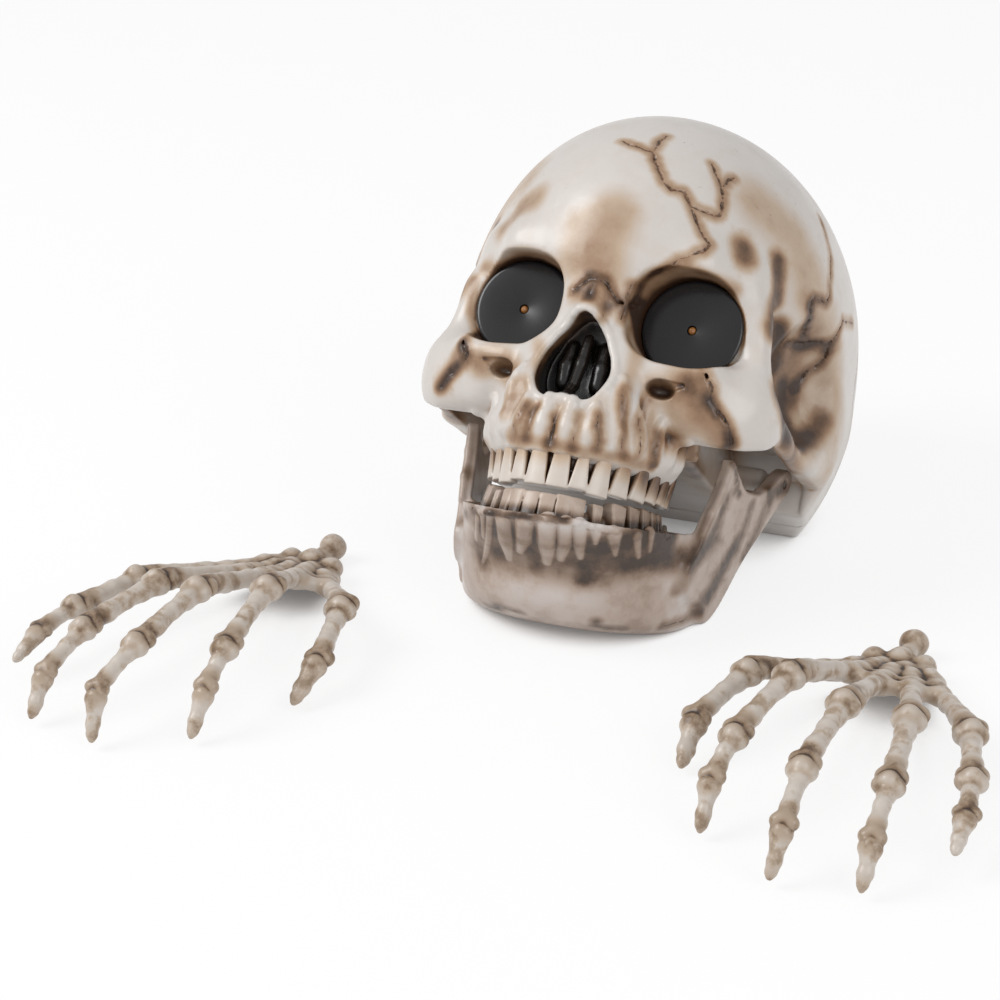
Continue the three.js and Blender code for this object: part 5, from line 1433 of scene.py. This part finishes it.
# %% Painted bone
def painted_bone(name, bone, washes, mottle_mm, patchy, roughness):
    """PVC with a sprayed bone colour, a brown wash that multiplies it, near-black pits and varnish."""
    material, tree, shader, place = new_material(name)
    stain, groove, crack, black_paint_and_shade, ivory = (
        add_node(tree, "Attribute", attribute_name=layer).outputs["Fac"]
        for layer in ("stain", "groove", "crack", "black_paint_and_shade", "ivory"))
    cloud = add_node(tree, "TexNoise", {"Vector": place, "Scale": noise_scale(30), "Detail": 3.0})
    mottle = add_node(tree, "TexNoise", {"Vector": place, "Scale": noise_scale(mottle_mm), "Detail": 5.0,
                                         "Roughness": 0.6}).outputs["Fac"]
    speck = add_node(tree, "TexNoise", {"Vector": place, "Scale": noise_scale(1.7), "Detail": 4.0,
                                        "Roughness": 0.7, "Distortion": 0.6}).outputs["Fac"]
    base = mixed(tree, cloud.outputs["Fac"], linear(bone[1]), linear(bone[0]))
    base = mixed(tree, ivory, base, linear("#D3CCC5"))
    broken = run_between(tree, mottle, 0.25, 0.75, 0.82, 1.15)
    patches = run_between(tree, mottle, 0.48, 0.68, 0.0, patchy)
    amount = worked(tree, "MULTIPLY_ADD", stain, broken, patches)
    shaken = add_node(tree, "Math", {0: speck, 1: 0.22, 2: -0.11}, operation="MULTIPLY_ADD").outputs[0]
    hollow_there = add_node(tree, "Math", {0: groove, 1: shaken}, operation="ADD").outputs[0]
    amount = worked(tree, "ADD", amount, run_between(tree, hollow_there, 0.08, 0.62, 0.0, 0.8))
    wobble = add_node(tree, "Math", {0: speck, 1: 0.8, 2: -0.4}, operation="MULTIPLY_ADD").outputs[0]
    apart = add_node(tree, "Math", {0: crack, 1: wobble}, operation="ADD").outputs[0]
    halo = worked(tree, "MULTIPLY", run_between(tree, apart, 0.0, 4.0, 0.45, 0.0), broken)
    amount = worked(tree, "ADD", amount, halo)
    amount = worked(tree, "MAXIMUM", amount, run_between(tree, apart, -0.2, 0.4, 1.0, 0.0))
    speck_peaks = run_between(tree, speck, 0.62, 0.8)
    flecks = worked(tree, "MULTIPLY", speck_peaks, run_between(tree, mottle, 0.5, 0.7))
    amount = worked(tree, "ADD", amount, worked(tree, "MULTIPLY", flecks, 0.18))
    ramp = add_node(tree, "ValToRGB", {"Fac": amount})
    stops = ramp.color_ramp.elements
    for place_on_ramp, _ in washes[1:-1]:
        stops.new(place_on_ramp)
    for stop, (_, colour) in zip(stops, washes):
        stop.color = linear(colour)
    painted = mixed(tree, 1.0, base, ramp.outputs["Color"], "MULTIPLY")
    # near-black: black paint in the nose and the holes, and painted shade at the back of the rows of teeth
    painted = mixed(tree, black_paint_and_shade, painted, linear("#15110F"))
    tree.links.new(painted, shader.inputs["Base Color"])
    rough = run_between(tree, mottle, 0.2, 0.8, roughness - 0.05, roughness + 0.09)
    rough = add_node(tree, "Math", {0: black_paint_and_shade, 1: -0.12, 2: rough}, operation="MULTIPLY_ADD").outputs[0]
    tree.links.new(rough, shader.inputs["Roughness"])
    dents = add_node(tree, "TexNoise", {"Vector": place, "Scale": noise_scale(9), "Detail": 2.0})
    height = {0: dents.outputs["Fac"], 1: 2.5, 2: speck}
    height = add_node(tree, "Math", height, operation="MULTIPLY_ADD").outputs[0]
    bump = add_node(tree, "Bump", {"Strength": 0.35, "Distance": 0.22 * mm, "Height": height})
    tree.links.new(bump.outputs[0], shader.inputs["Normal"])
    shader.inputs["IOR"].default_value = 1.5
    shader.inputs["Coat Weight"].default_value = 0.25
    shader.inputs["Coat Roughness"].default_value = 0.18
    return material


brown_wash = [(0.0, "#FFFFFF"), (0.25, "#E6D2BC"), (0.5, "#BD9C7E"), (0.75, "#86664A"), (1.0, "#4A3222")]
grey_wash = [(0.0, "#FFFFFF"), (0.25, "#DFD0C4"), (0.5, "#B49F8D"), (0.75, "#7D644F"), (1.0, "#493627")]
hand_wash = [(0.0, "#FFFFFF"), (0.25, "#DCCEBE"), (0.5, "#AE9880"), (0.75, "#77604B"), (1.0, "#443325")]
skull_paint = painted_bone("washed_bone_varnish", ("#D3CDC8", "#C8C1BB"), brown_wash, 12, 0.03, 0.37)
jaw_paint = painted_bone("heavily_washed_bone", ("#D0CAC7", "#C2BAB5"), grey_wash, 9, 0.07, 0.4)
hand_paint = painted_bone("satin_hand_bone", ("#D2CBC4", "#C3BAB1"), hand_wash, 8, 0.3, 0.42)


# %% [markdown]
# ## Plastics, steel and the other small finishes
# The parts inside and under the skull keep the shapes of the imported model, since they are plain moulded,
# turned or stamped pieces, and only need their finish. Each finish is one material: textured black ABS,
# soft wire sleeve, zinc-plated steel, the plain shrunk sleeve of a cell, and lacquered laminate. A fine
# noise in millimetres gives each one the grain that its process leaves.

# %% Black plastics, steel and the other small finishes
def moulded_plastic(name, colour, grain_mm, depth_mm, roughness):
    """ABS from a textured mould: an even colour with a fine pebble that spreads the highlights."""
    material, tree, shader, place = new_material(name)
    pebble = add_node(tree, "TexNoise", {"Vector": place, "Scale": noise_scale(grain_mm), "Detail": 3.0})
    pebble = pebble.outputs["Fac"]
    lighter = [min(1.0, part * 1.35 + 0.004) for part in linear(colour)]
    tree.links.new(mixed(tree, pebble, linear(colour), lighter), shader.inputs["Base Color"])
    bump = add_node(tree, "Bump", {"Strength": 0.4, "Distance": depth_mm * mm, "Height": pebble})
    tree.links.new(bump.outputs[0], shader.inputs["Normal"])
    shader.inputs["Roughness"].default_value = roughness
    shader.inputs["IOR"].default_value = 1.52
    return material


def zinc_plate():
    """Steel with bright zinc plating, slightly mottled where the plating crystals differ."""
    material, tree, shader, place = new_material("zinc_plated_steel")
    crystals = add_node(tree, "TexNoise", {"Vector": place, "Scale": noise_scale(1.2), "Detail": 4.0})
    crystals = crystals.outputs["Fac"]
    tree.links.new(mixed(tree, crystals, linear("#9C9DA0"), linear("#C4C5C8")), shader.inputs["Base Color"])
    tree.links.new(run_between(tree, crystals, 0.2, 0.8, 0.22, 0.4), shader.inputs["Roughness"])
    shader.inputs["Metallic"].default_value = 1.0
    return material


def cell_sleeve():
    """A shrunk PVC sleeve on a steel can: a grey body with fine lengthwise scuffs."""
    material, tree, shader, place = new_material("shrunk_cell_sleeve")
    stretched = add_node(tree, "Mapping", {"Vector": place, "Scale": (0.08, 1.0, 1.0)}).outputs[0]
    scuff = add_node(tree, "TexNoise", {"Vector": stretched, "Scale": noise_scale(0.8), "Detail": 4.0})
    scuff = scuff.outputs["Fac"]
    tree.links.new(mixed(tree, scuff, linear("#74777C"), linear("#9FA3AA")), shader.inputs["Base Color"])
    shader.inputs["Metallic"].default_value = 0.35
    shader.inputs["Roughness"].default_value = 0.33
    return material


def solder_mask():
    """Glass-fibre laminate under green lacquer: the weave shows as a fine square pattern."""
    material, tree, shader, place = new_material("green_solder_mask")
    weave = add_node(tree, "TexBrick", {"Vector": place, "Scale": noise_scale(4.0), "Mortar Size": 0.03,
                                        "Color1": linear("#2F6B45"), "Color2": linear("#2A6040"),
                                        "Mortar": linear("#3D7D55")})
    tree.links.new(weave.outputs["Color"], shader.inputs["Base Color"])
    shader.inputs["Roughness"].default_value = 0.3
    return material


black_abs = moulded_plastic("black_moulded_abs", "#1C1C1E", 0.9, 0.06, 0.5)
wire_pvc = moulded_plastic("soft_black_wire_sleeve", "#1A1A1C", 2.5, 0.03, 0.38)
steel = zinc_plate()
finishes = {
    "steel": steel, "black_plastic": black_abs, "wire_jacket": wire_pvc,
    "cell_jacket": cell_sleeve(), "board_laminate": solder_mask(),
}
node_slots = {part["node"]: part["material_slot"] for part in frame["record"]["subparts"]}
for name, part in frame["nodes"].items():
    finish = finishes.get(node_slots[name])
    for holder in part.material_slots:
        if finish:
            holder.material = finish
print("Finishes on the packed parts:", sorted(finishes))

# %% [markdown]
# ## From clay to pieces
# A mould maker would cast each lump of clay as one piece. Here each block becomes one mesh that rides on
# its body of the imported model, and every point of it carries the numbers that the painted bone reads.
# Flat stretches of the shells are meshed with larger faces, which keeps the pieces light.

# %% Cranium, jaw and teeth pieces
shell_fineness = 0.015
sculpted = {
    "cranium_front": (front, shell_fineness, paint_skull, skull_paint, "cranium", "cranium_front_shell"),
    "cranium_rear": (rear, shell_fineness, paint_skull, skull_paint, "cranium", "cranium_rear_shell"),
    "upper_teeth": (upper_row, 0.0, paint_upper_teeth, skull_paint, "cranium", "cranium_front_shell"),
    "jaw_bone": (jaw, 0.004, paint_jaw, jaw_paint, "jaw", "lower_jaw"),
    "lower_teeth": (lower_row, 0.0, paint_lower_teeth, jaw_paint, "jaw", "lower_jaw"),
}
for name, (clay, fineness, paint, material, body, node) in sculpted.items():
    points, triangles, quads = clay_mesh(clay, fineness)
    make_piece(name, head_to_frame(points), triangles, quads, paint(points), material, body,
               node)

# %% Hand pieces
hand_points, hand_triangles, hand_quads = clay_mesh(hand, 0.002)
hand_layers = paint_hand(hand_points)
for name, (side, x, y) in hand_places.items():
    turned = hand_points * (side, 1, 1)
    cosine, sine = math.cos(hand_turn), math.sin(hand_turn)
    placed = np.column_stack([
        turned[:, 0] * cosine - turned[:, 1] * sine + x,
        turned[:, 0] * sine + turned[:, 1] * cosine + y + head_back,
        turned[:, 2],
    ])
    flip = slice(None, None, side)
    make_piece(name + "_bones", placed * mm, hand_triangles[:, flip], hand_quads[:, flip], hand_layers,
               hand_paint, "hand_left" if side > 0 else "hand_right", name)

# %% [markdown]
# ## Eyes
# The real eye is a dark, smoke-tinted disc of ABS with a bevelled rim, pressed into the socket, and a
# 3 mm amber light looks out of a hole at its centre. Both are turned shapes, so a profile is swung
# round the socket's axis with enough sides to be round at this size.

# %% Turned pieces
def turned_piece(name, profile, middle, sides, material, body, node):
    """Swings a profile of radius and depth round an axis along the head's depth."""
    angles = np.arange(sides) * 2 * math.pi / sides
    rings = [np.column_stack([middle[0] + radius * np.cos(angles), np.full(sides, middle[1] + depth),
                              middle[2] + radius * np.sin(angles)]) for radius, depth in profile]
    points = np.concatenate(rings)
    at = np.arange(len(points)).reshape(len(profile), sides)
    ahead = np.roll(at, -1, axis=1)
    following = np.roll(at, -1, axis=0)
    across = np.roll(ahead, -1, axis=0)
    quads = np.stack([at, following, across, ahead], axis=-1).reshape(-1, 4)
    empty = np.zeros((0, 3), int)
    make_piece(name, head_to_frame(points), empty, quads, {}, material, body, node)


def smoked_abs():
    """Dark smoke-tinted ABS, polished: nearly black with a soft broad highlight."""
    material, tree, shader, place = new_material("smoked_polished_abs")
    haze = add_node(tree, "TexNoise", {"Vector": place, "Scale": noise_scale(9), "Detail": 3.0})
    haze = haze.outputs["Fac"]
    tree.links.new(mixed(tree, haze, linear("#1B1A1C"), linear("#222124")), shader.inputs["Base Color"])
    shader.inputs["Roughness"].default_value = 0.2
    shader.inputs["IOR"].default_value = 1.5
    return material


def amber_resin():
    """Clear amber epoxy: a warm amber body."""
    material, tree, shader, place = new_material("amber_epoxy")
    haze = add_node(tree, "TexNoise", {"Vector": place, "Scale": noise_scale(1.0), "Detail": 2.0})
    haze = haze.outputs["Fac"]
    tree.links.new(mixed(tree, haze, linear("#7A4A22"), linear("#B07A42")), shader.inputs["Base Color"])
    shader.inputs["Roughness"].default_value = 0.15
    shader.inputs["IOR"].default_value = 1.55
    return material


disc_plastic = smoked_abs()
lens_resin = amber_resin()
disc_profile = [(1.8, 0.3), (1.85, 0.02), (1.95, 0.0), (17.5, 0.0), (17.7, 0.01), (18.4, 0.15),
                (18.85, 0.5), (19.0, 0.9), (19.0, 1.5), (18.9, 1.6), (1.8, 1.6)]
lens_profile = [(0.05, -0.4), (0.6, -0.3), (1.1, 0.0), (1.4, 0.5), (1.5, 1.1), (1.5, 3.9), (2.0, 3.9),
                (2.0, 4.9), (0.05, 4.9)]
for side, word in ((1, "left"), (-1, "right")):
    middle = np.array(eye_place) * (side, 1, 1)
    turned_piece("eye_" + word, disc_profile, middle, 128, disc_plastic, "cranium",
                 "eye_disc_" + word)
    turned_piece("eye_light_" + word, lens_profile, middle, 32, lens_resin, "cranium",
                 "eye_led_" + word)

# %% [markdown]
# ## Floor and light
# The picture was taken on a white sweep with large soft lamps. A white floor is lit softly, and a part
# of its white comes straight from its material for the camera only, so the shadow stays faint.

# %% Floor
floor_mesh = bpy.data.meshes.new("floor")
floor_half = 6  # m
floor_mesh.from_pydata([(-floor_half, -floor_half, 0), (floor_half, -floor_half, 0),
                        (floor_half, floor_half, 0), (-floor_half, floor_half, 0)], [], [(0, 1, 2, 3)])
floor = bpy.data.objects.new("floor", floor_mesh)
bpy.context.scene.collection.objects.link(floor)
floor_paper, tree, shader, place = new_material("white_paper_sweep")
fibre = add_node(tree, "TexNoise", {"Vector": place, "Scale": noise_scale(30), "Detail": 3.0}).outputs["Fac"]
tree.links.new(mixed(tree, fibre, linear("#F4F4F4"), linear("#F8F8F8")), shader.inputs["Base Color"])
shader.inputs["Roughness"].default_value = 0.9
rays = add_node(tree, "LightPath")
seen = worked(tree, "ADD", rays.outputs["Is Camera Ray"], rays.outputs["Is Glossy Ray"])
seen = worked(tree, "ADD", seen, rays.outputs["Is Transmission Ray"])
glow = add_node(tree, "Emission", {"Color": (1, 1, 1, 1), "Strength": 1.0})
open_sky = add_node(tree, "AmbientOcclusion", {"Distance": 0.05}).outputs["AO"]
share = worked(tree, "MULTIPLY", seen, run_between(tree, open_sky, 0.1, 0.45, 0.1, 0.82))
shown = add_node(tree, "MixShader", {0: share, 1: shader.outputs[0], 2: glow.outputs[0]})
tree.links.new(shown.outputs[0], tree.nodes["Material Output"].inputs["Surface"])
floor_mesh.materials.append(floor_paper)

# %% Lamps and world
lamp_aim = (0, -0.05, 0.06)  # m, the middle of the skull


def lamp(name, place, size, power):
    """A round softbox, with its size in metres and its power in watts."""
    data = bpy.data.lights.new(name, "AREA")
    data.shape = "DISK"
    data.size = size
    data.energy = power
    made = bpy.data.objects.new(name, data)
    made.location = place
    made.rotation_euler = (Vector(lamp_aim) - Vector(place)).to_track_quat("-Z", "Y").to_euler()
    bpy.context.scene.collection.objects.link(made)


lamp("key_softbox", (-1.3, -0.75, 1.3), 1.1, 19)
lamp("fill_softbox", (1.4, -0.9, 1.0), 1.2, 9)
print("Lamps aim at", lamp_aim)
world = bpy.data.worlds.new("studio_air")
bpy.context.scene.world = world
world.use_nodes = True
tree = world.node_tree
tree.nodes.clear()
rays = add_node(tree, "LightPath")
seen = worked(tree, "ADD", rays.outputs["Is Camera Ray"], rays.outputs["Is Transmission Ray"])
soft = add_node(tree, "Background", {"Color": (1, 1, 1, 1), "Strength": 0.6})
bright = add_node(tree, "Background", {"Color": (1, 1, 1, 1), "Strength": 1.0})
both = add_node(tree, "MixShader", {0: seen, 1: soft.outputs[0], 2: bright.outputs[0]})
add_node(tree, "OutputWorld", {"Surface": both.outputs[0]})
bpy.context.scene.view_settings.view_transform = "Standard"

# %% Update the scene
bpy.context.view_layer.update()
